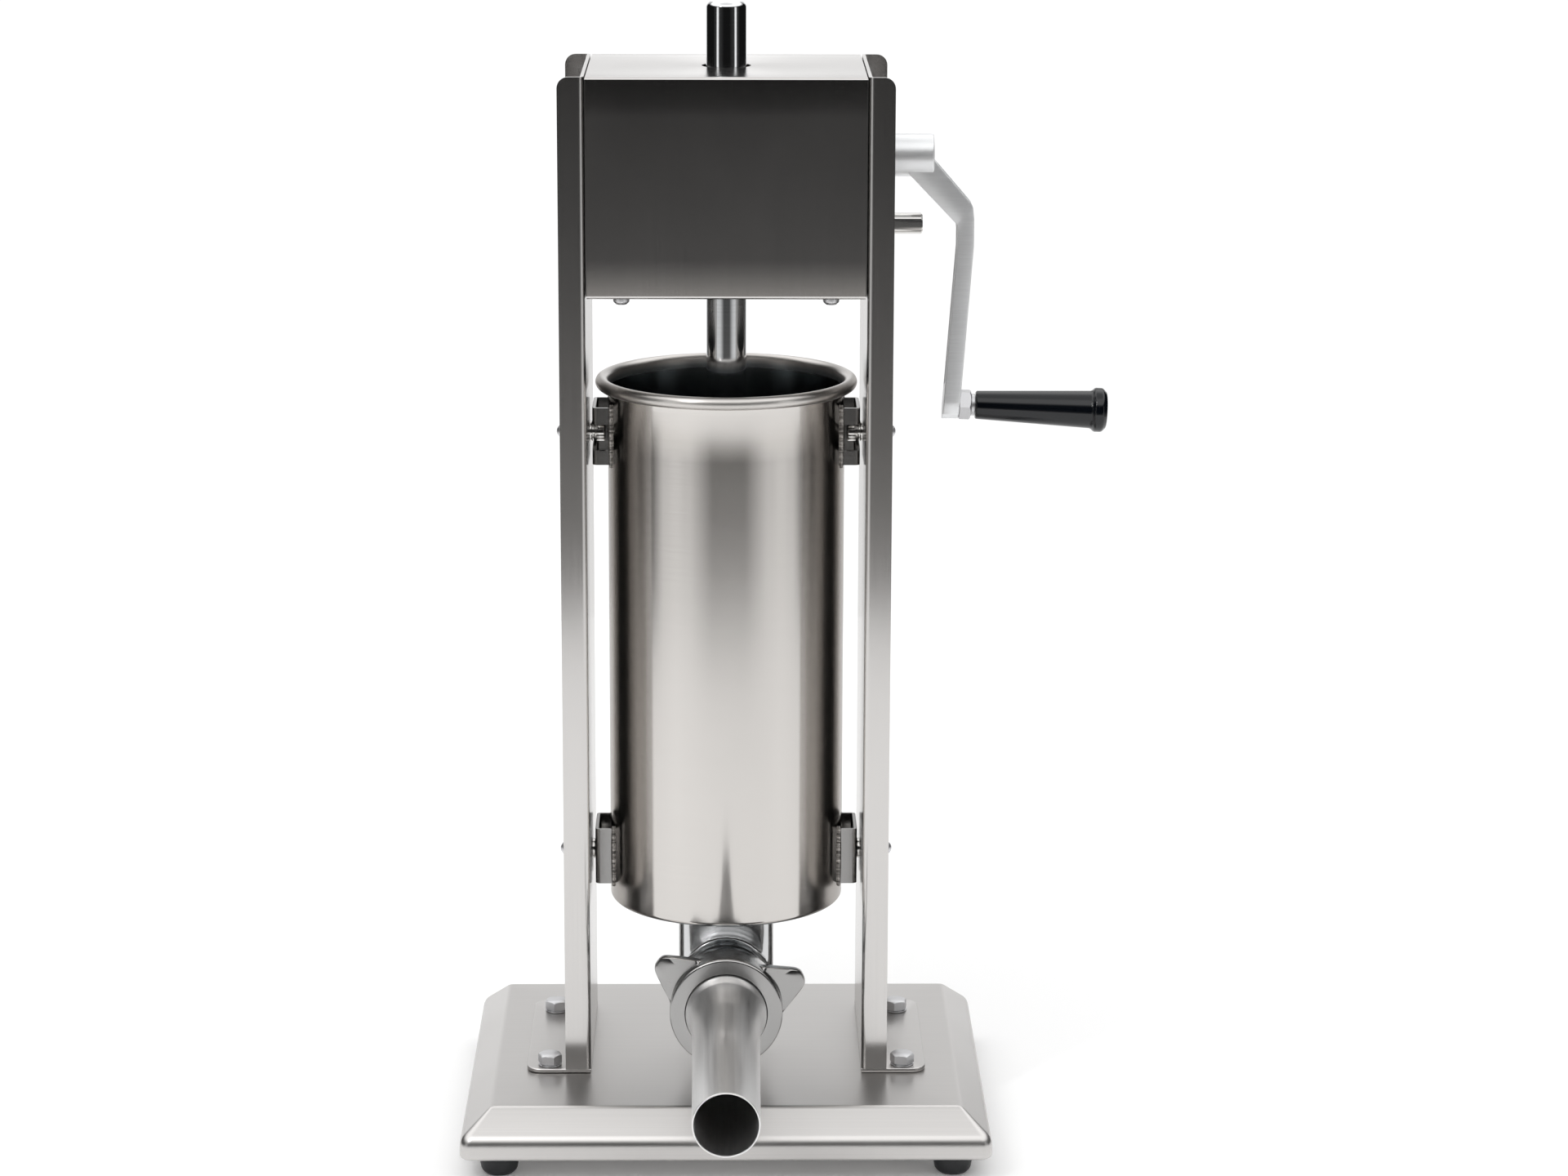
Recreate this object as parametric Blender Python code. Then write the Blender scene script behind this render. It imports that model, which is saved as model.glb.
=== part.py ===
"""Upright hand-cranked sausage stuffer with a two-speed gear case.

A folded base pan carries two channel columns. They hold the gear case at the top and the
barrel between them. A toothed ram passes through the case and pushes a piston down the
barrel, and a three-winged nut clamps the stuffing tube to the outlet under the barrel.

Lengths are metres. +Z is up, +X is the crank side and the stuffing tube points along -Y.
The "machine" empty carries everything: its own frame has the barrel's axis at x = y = 0 and
the table at z = 0, and it is moved so that the world origin is the middle of the footprint.
"""

import math

import bmesh
import bpy

# ---------------------------------------------------------------- fits and sheet
GAP = 0.0003
RUNNING_GAP = 0.0003
SLIDING_GAP = 0.0006
HOLE_CLEARANCE = 0.0004

# ---------------------------------------------------------------- base pan and feet
BASE_WIDTH = 0.315
BASE_DEPTH = 0.260
BASE_CENTRE_Y = -0.0085
BASE_SHEET = 0.0015
BASE_SKIRT = 0.0125
BASE_SLOPE_RUN = 0.018
BASE_SLOPE_DROP = 0.0155
BASE_LIP = 0.036
BASE_CORNER_RADIUS = 0.006
WELD_NUT_HEIGHT = 0.006
WELD_NUT_RADIUS = 0.0075
FOOT_HEIGHT = 0.014
FOOT_RADIUS = 0.0115
FOOT_INSET = 0.0225
FOOT_STEM_RADIUS = 0.0040
FOOT_STEM_LENGTH = 0.0050

# ---------------------------------------------------------------- columns
BARREL_TO_COLUMN = 0.0108
COLUMN_SHEET = 0.002
COLUMN_FLANGE = 0.0154
COLUMN_DEPTH = 0.130
COLUMN_BEND = 0.003
COLUMN_CORNER = 0.006
FOOT_PLATE_SHEET = 0.0025
FOOT_PLATE_REACH = 0.0392
FOOT_PLATE_DEPTH = 0.128
FOOT_PLATE_CORNER = 0.008
COLUMN_BOLT_OUT = 0.0252
COLUMN_BOLT_SPACING = 0.099
COLUMN_BOLT_SHIFT = -0.006
COLUMN_BOLT_RADIUS = 0.0040
COLUMN_BOLT_LENGTH = 0.011
HEX_M8 = 0.013
HEX_M8_HEAD = 0.0058
WASHER_RADIUS = 0.0071
WASHER_SHEET = 0.0012

# ---------------------------------------------------------------- barrel
BARREL_RADIUS = 0.071
BARREL_WALL = 0.001
WING_TO_BASE = 0.0022
BARREL_HEIGHT = 0.324
BARREL_FLOOR = 0.0015
BARREL_EDGE = 0.0025
RIM_BEAD = 0.0038
BARREL_SIDES = 40

# ---------------------------------------------------------------- barrel brackets and pins
BRACKET_DEPTH = 0.036
BRACKET_HEIGHT = 0.0345
BRACKET_SHEET = 0.002
BRACKET_TO_COLUMN = 0.002
BRACKET_BEND = 0.0028
UPPER_PIN_BELOW_RIM = 0.0345
LOWER_PIN_ABOVE_FLOOR = 0.0285
PIN_RADIUS = 0.0062
PIN_SLOT_GAP = 0.0006
PIN_GROOVE_WIDTH = 0.0010
PIN_GROOVE_DEPTH = 0.0012
PIN_TO_BARREL = 0.0015
PIN_THREAD_RADIUS = 0.0040
PIN_THREAD_LENGTH = 0.0140
CAP_NUT_HEX = 0.013
CAP_NUT_HEX_HEIGHT = 0.0065
CAP_NUT_HEIGHT = 0.0176

# ---------------------------------------------------------------- gear case
LOADING_GAP = 0.0557
PINION_TO_CASE_FLOOR = 0.0143
COVER_SHEET = 0.0012
COVER_LIP = 0.020
COVER_BEND = 0.0018
CASE_SHEET = 0.0025
CASE_TOP_SPACE = 0.004
GUIDE_BRIDGE_DROP = 0.017
GUIDE_BRIDGE_DEPTH = 0.040
ROD_HOLE_RADIUS = 0.0145
COVER_SCREW_OUT = 0.061
COVER_SCREW_FROM_FRONT = 0.010
COVER_SCREW_HEAD_RADIUS = 0.0049
COVER_SCREW_HEAD = 0.0040
COVER_SCREW_RADIUS = 0.0020
COVER_SCREW_LENGTH = 0.0065
CASE_BOLT_Y = 0.046
CASE_BOLT_INSET = 0.014
CASE_BOLT_RADIUS = 0.0030
CASE_BOLT_HEAD_RADIUS = 0.0055
CASE_BOLT_HEAD = 0.0032
CASE_BOLT_LENGTH = 0.0080

# ---------------------------------------------------------------- gear train
MODULE = 0.002
PRESSURE_ANGLE = math.radians(25)
TOOTH_THINNING = 0.00016
DEDENDUM = 1.25
PINION_TEETH = 12
LARGE_GEAR_TEETH = 29
GEAR_TO_BRIDGE = 0.0036
RACK_PITCH_LINE = 0.0085
SHAFT_RADIUS = 0.00635
RACK_PINION_WIDTH = 0.024
LARGE_GEAR_WIDTH = 0.010
LARGE_GEAR_X = 0.029
SMALL_PINION_WIDTH = 0.012
GEAR_BOSS_RADIUS = 0.0125
GEAR_BOSS_LENGTH = 0.008
BUSH_RADIUS = 0.0090
BUSH_FLANGE_RADIUS = 0.0115
BUSH_FLANGE = 0.0020
STUB_OUT = 0.0335
STUB_FLAT_DEPTH = 0.0011
STUB_FLAT_LENGTH = 0.022

# ---------------------------------------------------------------- ram and piston
ROD_RADIUS = 0.012
ROD_PROUD = 0.0375
ROD_CHAMFER = 0.0025
GUIDE_WALL = 0.004
GUIDE_FLANGE_RADIUS = 0.0205
GUIDE_FLANGE = 0.0025
GUIDE_LENGTH = 0.010
RACK_MARGIN = 0.018
TRAVEL_TO_RIM = 0.009
TRAVEL_DOWN = 0.003
PISTON_HEIGHT = 0.010
PISTON_FLOOR_SPACE = 0.0135
PISTON_RIB = 0.002
PISTON_TO_BARREL = 0.003
SEAL_DEPTH = 0.004
SEAL_TO_BARREL = 0.0006
STUD_RADIUS = 0.006
PISTON_NUT_HEX = 0.019
PISTON_NUT_HEIGHT = 0.0065
STUD_PROUD = 0.001
VALVE_OFFSET = 0.038
VALVE_STEM_RADIUS = 0.003
VALVE_CAP_RADIUS = 0.0065
VALVE_CAP_HEIGHT = 0.0028
VALVE_KEEPER_RADIUS = 0.0050
VALVE_KEEPER_HEIGHT = 0.0018
VALVE_LIFT = 0.003

# ---------------------------------------------------------------- crank
HUB_RADIUS = 0.0128
HUB_TO_COLUMN = 0.0057
HUB_LENGTH = 0.0341
ARM_WIDTH = 0.018
ARM_THICKNESS = 0.0100
ARM_BEND_OUT = 0.0194
ARM_BEND_DROP = 0.038
ARM_BEND_LOW = 0.054
ARM_THROW = 0.151
ARM_FOOT_IN = 0.0072
ARM_POCKET_DEPTH = 0.0022
ARM_POCKET_WIDTH = 0.009
ARM_END_RADIUS = 0.0085
GRIP_TILT = math.radians(2.35)
GRIP_NUT_HEX = 0.0165
GRIP_NUT_HEIGHT = 0.0068
GRIP_COLLAR_RADIUS = 0.0066
GRIP_COLLAR = 0.0022
GRIP_BOLT_RADIUS = 0.0040
GRIP_LENGTH = 0.0795
GRIP_ROOT_RADIUS = 0.0085
GRIP_END_RADIUS = 0.0114
GRIP_BULB_RADIUS = 0.0134
GRIP_BULB_LENGTH = 0.0088
GRIP_RECESS_RADIUS = 0.0072
GRIP_RECESS_DEPTH = 0.0045
GRIP_BOLT_HEAD_RADIUS = 0.0062
GRIP_BOLT_HEAD = 0.0030
SET_SCREW_RADIUS = 0.0030

# ---------------------------------------------------------------- outlet, nut and tube
NECK_TO_OUTLET_SIDE = 0.0004
OUTLET_FRONT = 0.050
OUTLET_DEPTH = 0.058
OUTLET_CORNER = 0.007
OUTLET_AXIS_DROP = 0.042
OUTLET_BORE = 0.0205
OUTLET_DROP_RADIUS = 0.0220
NECK_RADIUS = 0.0283
NECK_THREAD = 0.0010
NECK_THREAD_PITCH = 0.0085
NUT_LENGTH = 0.022
NUT_WALL = 0.0052
NUT_FRONT = 0.106
NUT_FRONT_LIP = 0.004
NUT_OPENING = 0.0247
WING_COUNT = 3
WING_REACH = 0.0170
WING_THICKNESS = 0.0068
WING_SETBACK = 0.007
WING_TIP_HALF = math.radians(5.0)
WING_ROOT_HALF = math.radians(28)
WING_FIRST = math.radians(24.2)
GASKET = 0.002
GASKET_BORE = 0.0228
TUBE_FLANGE = 0.0025
TUBE_WALL = 0.001
TUBE_SHOULDER_RADIUS = 0.0241
TUBE_ROOT_RADIUS = 0.0199
TUBE_TIP_RADIUS = 0.0190
TUBE_CONE_END = 0.144
TUBE_TIP = 0.290

# ---------------------------------------------------------------- derived places
BASE_TOP = FOOT_HEIGHT + BASE_SKIRT + BASE_SLOPE_DROP
BASE_HALF_WIDTH = BASE_WIDTH / 2
BASE_HALF_DEPTH = BASE_DEPTH / 2
COLUMN_INNER = BARREL_RADIUS + BARREL_TO_COLUMN
COLUMN_WEB_OUT = COLUMN_INNER + COLUMN_SHEET
COLUMN_FOOT = BASE_TOP + GAP
COLUMN_BOLT_X = COLUMN_INNER + COLUMN_BOLT_OUT
FOOT_PLATE_TOP = COLUMN_FOOT + FOOT_PLATE_SHEET
NUT_RADIUS = NECK_RADIUS + NUT_WALL
WING_RADIUS = NUT_RADIUS + WING_REACH
BARREL_BOTTOM = BASE_TOP + WING_TO_BASE + WING_RADIUS + OUTLET_AXIS_DROP
BARREL_RIM = BARREL_BOTTOM + BARREL_HEIGHT
CASE_BOTTOM = BARREL_RIM + LOADING_GAP
PINION_PITCH_RADIUS = MODULE * PINION_TEETH / 2
LARGE_PITCH_RADIUS = MODULE * LARGE_GEAR_TEETH / 2
CASE_FLOOR = CASE_BOTTOM + COVER_SHEET + GAP
LOWER_SHAFT_Z = CASE_FLOOR + CASE_SHEET + PINION_TO_CASE_FLOOR + PINION_PITCH_RADIUS + MODULE
UPPER_SHAFT_Z = LOWER_SHAFT_Z + PINION_PITCH_RADIUS + LARGE_PITCH_RADIUS
GUIDE_BRIDGE_TOP = UPPER_SHAFT_Z + LARGE_PITCH_RADIUS + MODULE + GEAR_TO_BRIDGE + CASE_SHEET
CASE_TOP = GUIDE_BRIDGE_TOP + GUIDE_BRIDGE_DROP + COVER_SHEET
COLUMN_TOP = CASE_TOP
UPPER_PIN_Z = BARREL_RIM - UPPER_PIN_BELOW_RIM
LOWER_PIN_Z = BARREL_BOTTOM + LOWER_PIN_ABOVE_FLOOR
BARREL_INNER = BARREL_RADIUS - BARREL_WALL
RIM_CENTRE_RADIUS = BARREL_RADIUS + RIM_BEAD
FLOOR_TOP = BARREL_BOTTOM + BARREL_FLOOR
BRACKET_OUT = COLUMN_INNER - BRACKET_TO_COLUMN
CASE_HALF_DEPTH = COLUMN_DEPTH / 2
COVER_HALF_WIDTH = COLUMN_INNER - 3 * GAP
CASE_SIDE_OUT = COLUMN_INNER - GAP
CASE_SIDE_IN = CASE_SIDE_OUT - CASE_SHEET
CASE_PLATE_HALF = CASE_HALF_DEPTH - COVER_SHEET - GAP
SHAFT_Y = RACK_PITCH_LINE + PINION_PITCH_RADIUS
ROD_TOP = CASE_TOP + ROD_PROUD
TRAVEL_UP = BARREL_HEIGHT - TRAVEL_TO_RIM
STUB_REACH = COLUMN_WEB_OUT + STUB_OUT
HUB_START = COLUMN_WEB_OUT + HUB_TO_COLUMN
HUB_END = HUB_START + HUB_LENGTH
ARM_BEND_X = HUB_END + ARM_BEND_OUT
ARM_FOOT_X = ARM_BEND_X - ARM_FOOT_IN
PISTON_LOW = FLOOR_TOP + PISTON_FLOOR_SPACE
PISTON_TOP = PISTON_LOW + PISTON_HEIGHT
PISTON_RADIUS = BARREL_INNER - PISTON_TO_BARREL
SEAL_RADIUS = BARREL_INNER - SEAL_TO_BARREL
OUTLET_AXIS_Z = BARREL_BOTTOM - OUTLET_AXIS_DROP
OUTLET_DROP_Y = -OUTLET_FRONT + OUTLET_DEPTH / 2
OUTLET_WIDTH = 2 * (NECK_RADIUS + NECK_TO_OUTLET_SIDE)
TUBE_FLANGE_RADIUS = NECK_RADIUS - GAP
NUT_SEAT = NUT_FRONT - NUT_FRONT_LIP - GAP
GASKET_FRONT = NUT_SEAT - TUBE_FLANGE - GAP
NECK_FRONT = GASKET_FRONT - GASKET - GAP
GRIP_START = GRIP_NUT_HEIGHT + GRIP_COLLAR + 2 * GAP
SIDES = {"left": -1, "right": 1}

# The footprint runs from the base's left edge to the grip's end, and from the tube's tip to
# the base's rear edge. Its middle becomes the world origin.
GRIP_FAR_X = ARM_FOOT_X + ARM_THICKNESS / 2
GRIP_FAR_X += (GRIP_START + GRIP_LENGTH) * math.cos(GRIP_TILT)
FOOTPRINT_X = (GRIP_FAR_X - BASE_HALF_WIDTH) / 2
FOOTPRINT_Y = (BASE_CENTRE_Y + BASE_HALF_DEPTH - TUBE_TIP) / 2


# ---------------------------------------------------------------- scene and material helpers
def clear_scene():
    for obj in list(bpy.data.objects):
        bpy.data.objects.remove(obj, do_unlink=True)


def finish(name, colour, roughness, metallic):
    """One Principled material, made once and shared by every piece of that finish."""
    found = bpy.data.materials.get(name)
    if found:
        return found
    made = bpy.data.materials.new(name)
    made.use_nodes = True
    shader = made.node_tree.nodes["Principled BSDF"]
    shader.inputs["Base Color"].default_value = (*colour, 1)
    shader.inputs["Roughness"].default_value = roughness
    shader.inputs["Metallic"].default_value = metallic
    return made


def brushed_steel():
    return finish("brushed_steel", (0.62, 0.61, 0.60), 0.34, 1.0)


def polished_steel():
    return finish("polished_steel", (0.72, 0.71, 0.69), 0.16, 1.0)


def zinc_plate():
    return finish("zinc_plate", (0.66, 0.66, 0.67), 0.30, 1.0)


def chrome():
    return finish("chrome", (0.78, 0.78, 0.79), 0.07, 1.0)


def gear_steel():
    return finish("gear_steel", (0.36, 0.35, 0.34), 0.40, 1.0)


def bronze():
    return finish("bronze", (0.60, 0.42, 0.22), 0.38, 1.0)


def cast_alloy():
    return finish("cast_alloy", (0.80, 0.80, 0.80), 0.36, 1.0)


def black_plastic():
    return finish("black_plastic", (0.010, 0.010, 0.012), 0.12, 0.0)


def black_rubber():
    return finish("black_rubber", (0.015, 0.015, 0.015), 0.70, 0.0)


def food_seal():
    return finish("food_seal", (0.78, 0.76, 0.72), 0.55, 0.0)


def empty(name, location, parent, rotation=(0, 0, 0)):
    made = bpy.data.objects.new(name, None)
    made.location = location
    made.rotation_euler = rotation
    made.parent = parent
    bpy.context.scene.collection.objects.link(made)
    return made


def solid(name, bm, material, parent, sharp_angle=35):
    """Turns a bmesh into a named object with outward faces and smooth round sides."""
    bmesh.ops.recalc_face_normals(bm, faces=bm.faces)
    mesh = bpy.data.meshes.new(name)
    bm.to_mesh(mesh)
    bm.free()
    mesh.shade_smooth()
    mesh.set_sharp_from_angle(angle=math.radians(sharp_angle))
    mesh.materials.append(material)
    made = bpy.data.objects.new(name, mesh)
    made.parent = parent
    bpy.context.scene.collection.objects.link(made)
    return made


def helper(name, bm, parent):
    """A solid that only cuts or joins another one."""
    made = solid(name, bm, brushed_steel(), parent)
    made.hide_render = True
    made.display_type = "WIRE"
    return made


def boolean(target, other, operation):
    modifier = target.modifiers.new(f"{operation.lower()} {other.name}", "BOOLEAN")
    modifier.operation = operation
    modifier.solver = "EXACT"
    modifier.object = other


def cut(target, name, bm):
    boolean(target, helper(name, bm, target.parent), "DIFFERENCE")


def join(target, name, bm):
    boolean(target, helper(name, bm, target.parent), "UNION")


# ---------------------------------------------------------------- shape helpers
def along(axis, u, v, w):
    """A point w along the axis and (u, v) across it."""
    if axis == "X":
        return (w, u, v)
    if axis == "Y":
        return (u, w, v)
    return (u, v, w)


def prism(outline, axis, low, high):
    """The outline, drawn across the axis, as a solid from low to high along it."""
    bm = bmesh.new()
    base = [bm.verts.new(along(axis, u, v, low)) for u, v in outline]
    top = [bm.verts.new(along(axis, u, v, high)) for u, v in outline]
    bm.faces.new(base)
    bm.faces.new(reversed(top))
    for i in range(len(outline)):
        j = (i + 1) % len(outline)
        bm.faces.new((base[i], top[i], top[j], base[j]))
    return bm


def box(low, high):
    outline = [(low[0], low[1]), (high[0], low[1]), (high[0], high[1]), (low[0], high[1])]
    return prism(outline, "Z", low[2], high[2])


def turned(profile, axis="Z", sides=32, centre=(0, 0), phase=0.0):
    """Revolves (radius, height) points round an axis through centre; a radius of 0 is a pole."""
    bm = bmesh.new()
    rings = []
    for radius, height in profile:
        if radius == 0:
            point = along(axis, centre[0], centre[1], height)
            rings.append([bm.verts.new(point)] * sides)
            continue
        ring = []
        for i in range(sides):
            angle = phase + 2 * math.pi * i / sides
            u = centre[0] + radius * math.cos(angle)
            v = centre[1] + radius * math.sin(angle)
            ring.append(bm.verts.new(along(axis, u, v, height)))
        rings.append(ring)
    count = len(rings)
    ends_on_axis = profile[0][0] == 0 and profile[-1][0] == 0
    for i in range(count - 1 if ends_on_axis else count):
        lower, upper = rings[i], rings[(i + 1) % count]
        for a in range(sides):
            b = (a + 1) % sides
            corners = dict.fromkeys((lower[a], lower[b], upper[b], upper[a]))
            if len(corners) > 2:
                bm.faces.new(list(corners))
    return bm


def cylinder(radius, axis, low, high, centre=(0, 0), sides=24, phase=0.0):
    profile = [(0, low), (radius, low), (radius, high), (0, high)]
    return turned(profile, axis, sides, centre, phase)


def arc(centre, radius, start, end, steps):
    """Points on an arc from the start angle to the end angle, both in degrees."""
    angles = [math.radians(start + (end - start) * i / steps) for i in range(steps + 1)]
    return [
        (centre[0] + radius * math.cos(a), centre[1] + radius * math.sin(a)) for a in angles
    ]


def rounded_rectangle(half_width, half_depth, radius, steps=2, centre=(0, 0)):
    points = []
    for sx, sy, start in ((1, 1, 0), (-1, 1, 90), (-1, -1, 180), (1, -1, 270)):
        middle = (centre[0] + sx * (half_width - radius), centre[1] + sy * (half_depth - radius))
        points += arc(middle, radius, start, start + 90, steps)
    return points


def hexagon(across_flats, centre=(0, 0), phase=0.0):
    radius = across_flats / math.sqrt(3)
    angles = [phase + math.pi / 3 * i for i in range(6)]
    return [
        (centre[0] + radius * math.cos(a), centre[1] + radius * math.sin(a)) for a in angles
    ]


def channel_outline(web_x, flange_x, half_depth, sheet, bend, steps=2):
    """A folded channel: its web at web_x, its flanges reaching flange_x, web_x < flange_x."""
    outer = [(flange_x, half_depth)]
    outer += arc((web_x + bend, half_depth - bend), bend, 90, 180, steps)
    outer += arc((web_x + bend, bend - half_depth), bend, 180, 270, steps)
    outer += [(flange_x, -half_depth)]
    inner_bend = bend - sheet
    inner = [(flange_x, sheet - half_depth)]
    inner += arc((web_x + bend, bend - half_depth), inner_bend, 270, 180, steps)
    inner += arc((web_x + bend, half_depth - bend), inner_bend, 180, 90, steps)
    inner += [(flange_x, half_depth - sheet)]
    return outer + inner


def mirrored(outline, side):
    return [(side * u, v) for u, v in outline]


def span(side, near, far):
    """Low and high x of what runs from near to far, out from the middle, on one side."""
    return sorted((side * near, side * far))


def lofted(loops, cap_first, cap_last):
    """Walls between equal loops of points, with an n-gon on the ends that are capped."""
    bm = bmesh.new()
    rings = [[bm.verts.new(point) for point in loop] for loop in loops]
    count = len(rings[0])
    closed = not (cap_first or cap_last)
    for i in range(len(rings) if closed else len(rings) - 1):
        lower, upper = rings[i], rings[(i + 1) % len(rings)]
        for a in range(count):
            b = (a + 1) % count
            bm.faces.new((lower[a], lower[b], upper[b], upper[a]))
    if cap_first:
        bm.faces.new(rings[0])
    if cap_last:
        bm.faces.new(rings[-1])
    return bm


# ---------------------------------------------------------------- base pan and feet
def base_loop(inset, z):
    """The pan's outline, drawn in by inset, at one height."""
    outline = rounded_rectangle(
        BASE_HALF_WIDTH - inset,
        BASE_HALF_DEPTH - inset,
        max(BASE_CORNER_RADIUS - inset, BASE_CORNER_RADIUS / 4),
        centre=(0, BASE_CENTRE_Y),
    )
    return [(x, y, z) for x, y in outline]


def column_bolt_places():
    for side_name, side in SIDES.items():
        for end_name, end in (("front", -1), ("rear", 1)):
            y = COLUMN_BOLT_SHIFT + end * COLUMN_BOLT_SPACING / 2
            yield f"{end_name}_{side_name}", side * COLUMN_BOLT_X, y


def foot_places():
    for side_name, side in SIDES.items():
        for end_name, end in (("front", -1), ("rear", 1)):
            x = side * (BASE_HALF_WIDTH - FOOT_INSET)
            y = BASE_CENTRE_Y + end * (BASE_HALF_DEPTH - FOOT_INSET)
            yield f"{end_name}_{side_name}", x, y


def make_base_pan(machine):
    """A folded tray: flat top, sloping shoulders, short skirt and a lip turned in below."""
    bottom = FOOT_HEIGHT
    skirt_top = bottom + BASE_SKIRT
    sheet = BASE_SHEET
    slope_shift = sheet * math.tan(math.atan2(BASE_SLOPE_DROP, BASE_SLOPE_RUN) / 2)
    loops = [
        base_loop(BASE_SLOPE_RUN, BASE_TOP),
        base_loop(0.0006, skirt_top + 0.0008),
        base_loop(0, skirt_top - 0.0012),
        base_loop(0, bottom + 0.0015),
        base_loop(0.0008, bottom),
        base_loop(BASE_LIP, bottom),
        base_loop(BASE_LIP, bottom + sheet),
        base_loop(sheet, bottom + sheet),
        base_loop(sheet, skirt_top - slope_shift),
        base_loop(BASE_SLOPE_RUN + slope_shift, BASE_TOP - sheet),
    ]
    pan = solid("base_pan", lofted(loops, True, True), brushed_steel(), machine)
    low = BASE_TOP - sheet - WELD_NUT_HEIGHT
    for place, x, y in column_bolt_places():
        nut = cylinder(WELD_NUT_RADIUS, "Z", low, BASE_TOP - sheet / 2, (x, y), 16)
        join(pan, f"weld_nut_{place}", nut)
        hole = COLUMN_BOLT_RADIUS + HOLE_CLEARANCE
        bore = cylinder(hole, "Z", low - 0.002, BASE_TOP + 0.002, (x, y), 12)
        cut(pan, f"bolt_hole_{place}", bore)
    for place, x, y in foot_places():
        bore = cylinder(FOOT_STEM_RADIUS + GAP, "Z", bottom - 0.002, bottom + 0.006, (x, y), 18)
        cut(pan, f"foot_hole_{place}", bore)


def make_feet(machine):
    """Rubber feet, each with a moulded stem and a bead that snaps over the pan's lip."""
    top = FOOT_HEIGHT - GAP
    stem_top = FOOT_HEIGHT + FOOT_STEM_LENGTH
    bead_low = FOOT_HEIGHT + BASE_SHEET + GAP
    radius = FOOT_RADIUS
    profile = [
        (0, 0),
        (radius * 0.78, 0),
        (radius * 0.96, 0.0025),
        (radius, top - 0.0010),
        (radius * 0.94, top),
        (FOOT_STEM_RADIUS, top),
        (FOOT_STEM_RADIUS, bead_low),
        (FOOT_STEM_RADIUS + 0.0012, bead_low),
        (FOOT_STEM_RADIUS, stem_top),
        (0, stem_top),
    ]
    for place, x, y in foot_places():
        solid(f"foot_{place}", turned(profile, "Z", 16, (x, y)), black_rubber(), machine)


# ---------------------------------------------------------------- columns and their bolts
def make_column(machine, side_name, side):
    """A folded channel that opens outward, welded on a foot plate that reaches outward."""
    flange_x = COLUMN_INNER + COLUMN_FLANGE
    outline = channel_outline(
        COLUMN_INNER, flange_x, COLUMN_DEPTH / 2, COLUMN_SHEET, COLUMN_BEND
    )
    bm = prism(mirrored(outline, side), "Z", COLUMN_FOOT, COLUMN_TOP)
    column = solid(f"column_{side_name}", bm, brushed_steel(), machine)

    plate_far = COLUMN_INNER + FOOT_PLATE_REACH
    half = FOOT_PLATE_DEPTH / 2
    corner = FOOT_PLATE_CORNER
    plate = [(COLUMN_INNER + COLUMN_SHEET / 2, -half)]
    plate += arc((plate_far - corner, corner - half), corner, -90, 0, 3)
    plate += arc((plate_far - corner, half - corner), corner, 0, 90, 3)
    plate += [(COLUMN_INNER + COLUMN_SHEET / 2, half)]
    bm = prism(mirrored(plate, side), "Z", COLUMN_FOOT, FOOT_PLATE_TOP)
    join(column, f"foot_plate_{side_name}", bm)

    corner = COLUMN_CORNER
    middle = (flange_x - corner, COLUMN_TOP - corner)
    outline = arc(middle, corner, 0, 90, 4)
    outline += [(flange_x - corner, COLUMN_TOP + corner), (flange_x + corner, COLUMN_TOP + corner)]
    outline += [(flange_x + corner, COLUMN_TOP - corner)]
    bm = prism(mirrored(outline, side), "Y", -COLUMN_DEPTH, COLUMN_DEPTH)
    cut(column, f"flange_corner_{side_name}", bm)

    holes = [
        ("upper_pin", PIN_THREAD_RADIUS + HOLE_CLEARANCE, 0, UPPER_PIN_Z),
        ("lower_pin", PIN_THREAD_RADIUS + HOLE_CLEARANCE, 0, LOWER_PIN_Z),
    ]
    holes += [
        (f"case_bolt_{place}", CASE_BOLT_RADIUS + HOLE_CLEARANCE, y, z)
        for place, y, z in case_bolt_places()
    ]
    if side > 0:
        holes += [
            ("upper_shaft", BUSH_RADIUS + GAP, SHAFT_Y, UPPER_SHAFT_Z),
            ("lower_shaft", BUSH_RADIUS + GAP, SHAFT_Y, LOWER_SHAFT_Z),
        ]
    low, high = span(side, COLUMN_INNER - 0.004, COLUMN_WEB_OUT + 0.004)
    for hole, radius, y, z in holes:
        sides = 18 if radius > BUSH_RADIUS else 14
        bm = cylinder(radius, "X", low, high, (y, z), sides)
        cut(column, f"{hole}_hole_{side_name}", bm)
    low, high = COLUMN_FOOT - 0.002, FOOT_PLATE_TOP + 0.002
    for place, x, y in column_bolt_places():
        if x * side > 0:
            hole = cylinder(COLUMN_BOLT_RADIUS + HOLE_CLEARANCE, "Z", low, high, (x, y), 12)
            cut(column, f"plate_hole_{place}", hole)


def make_column_bolts(machine):
    """Hex bolts with a washer face, down through the foot plate into the welded nuts."""
    seat = FOOT_PLATE_TOP + GAP
    head_low = seat + WASHER_SHEET
    for place, x, y in column_bolt_places():
        low = seat - COLUMN_BOLT_LENGTH
        bm = prism(hexagon(HEX_M8, (x, y)), "Z", head_low, head_low + HEX_M8_HEAD)
        bolt = solid(f"column_bolt_{place}", bm, zinc_plate(), machine)
        shank = cylinder(COLUMN_BOLT_RADIUS, "Z", low, head_low + 0.001, (x, y), 12)
        join(bolt, f"column_bolt_shank_{place}", shank)
        washer = cylinder(WASHER_RADIUS, "Z", seat, head_low + 0.0004, (x, y), 16)
        join(bolt, f"column_bolt_washer_{place}", washer)


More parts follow.
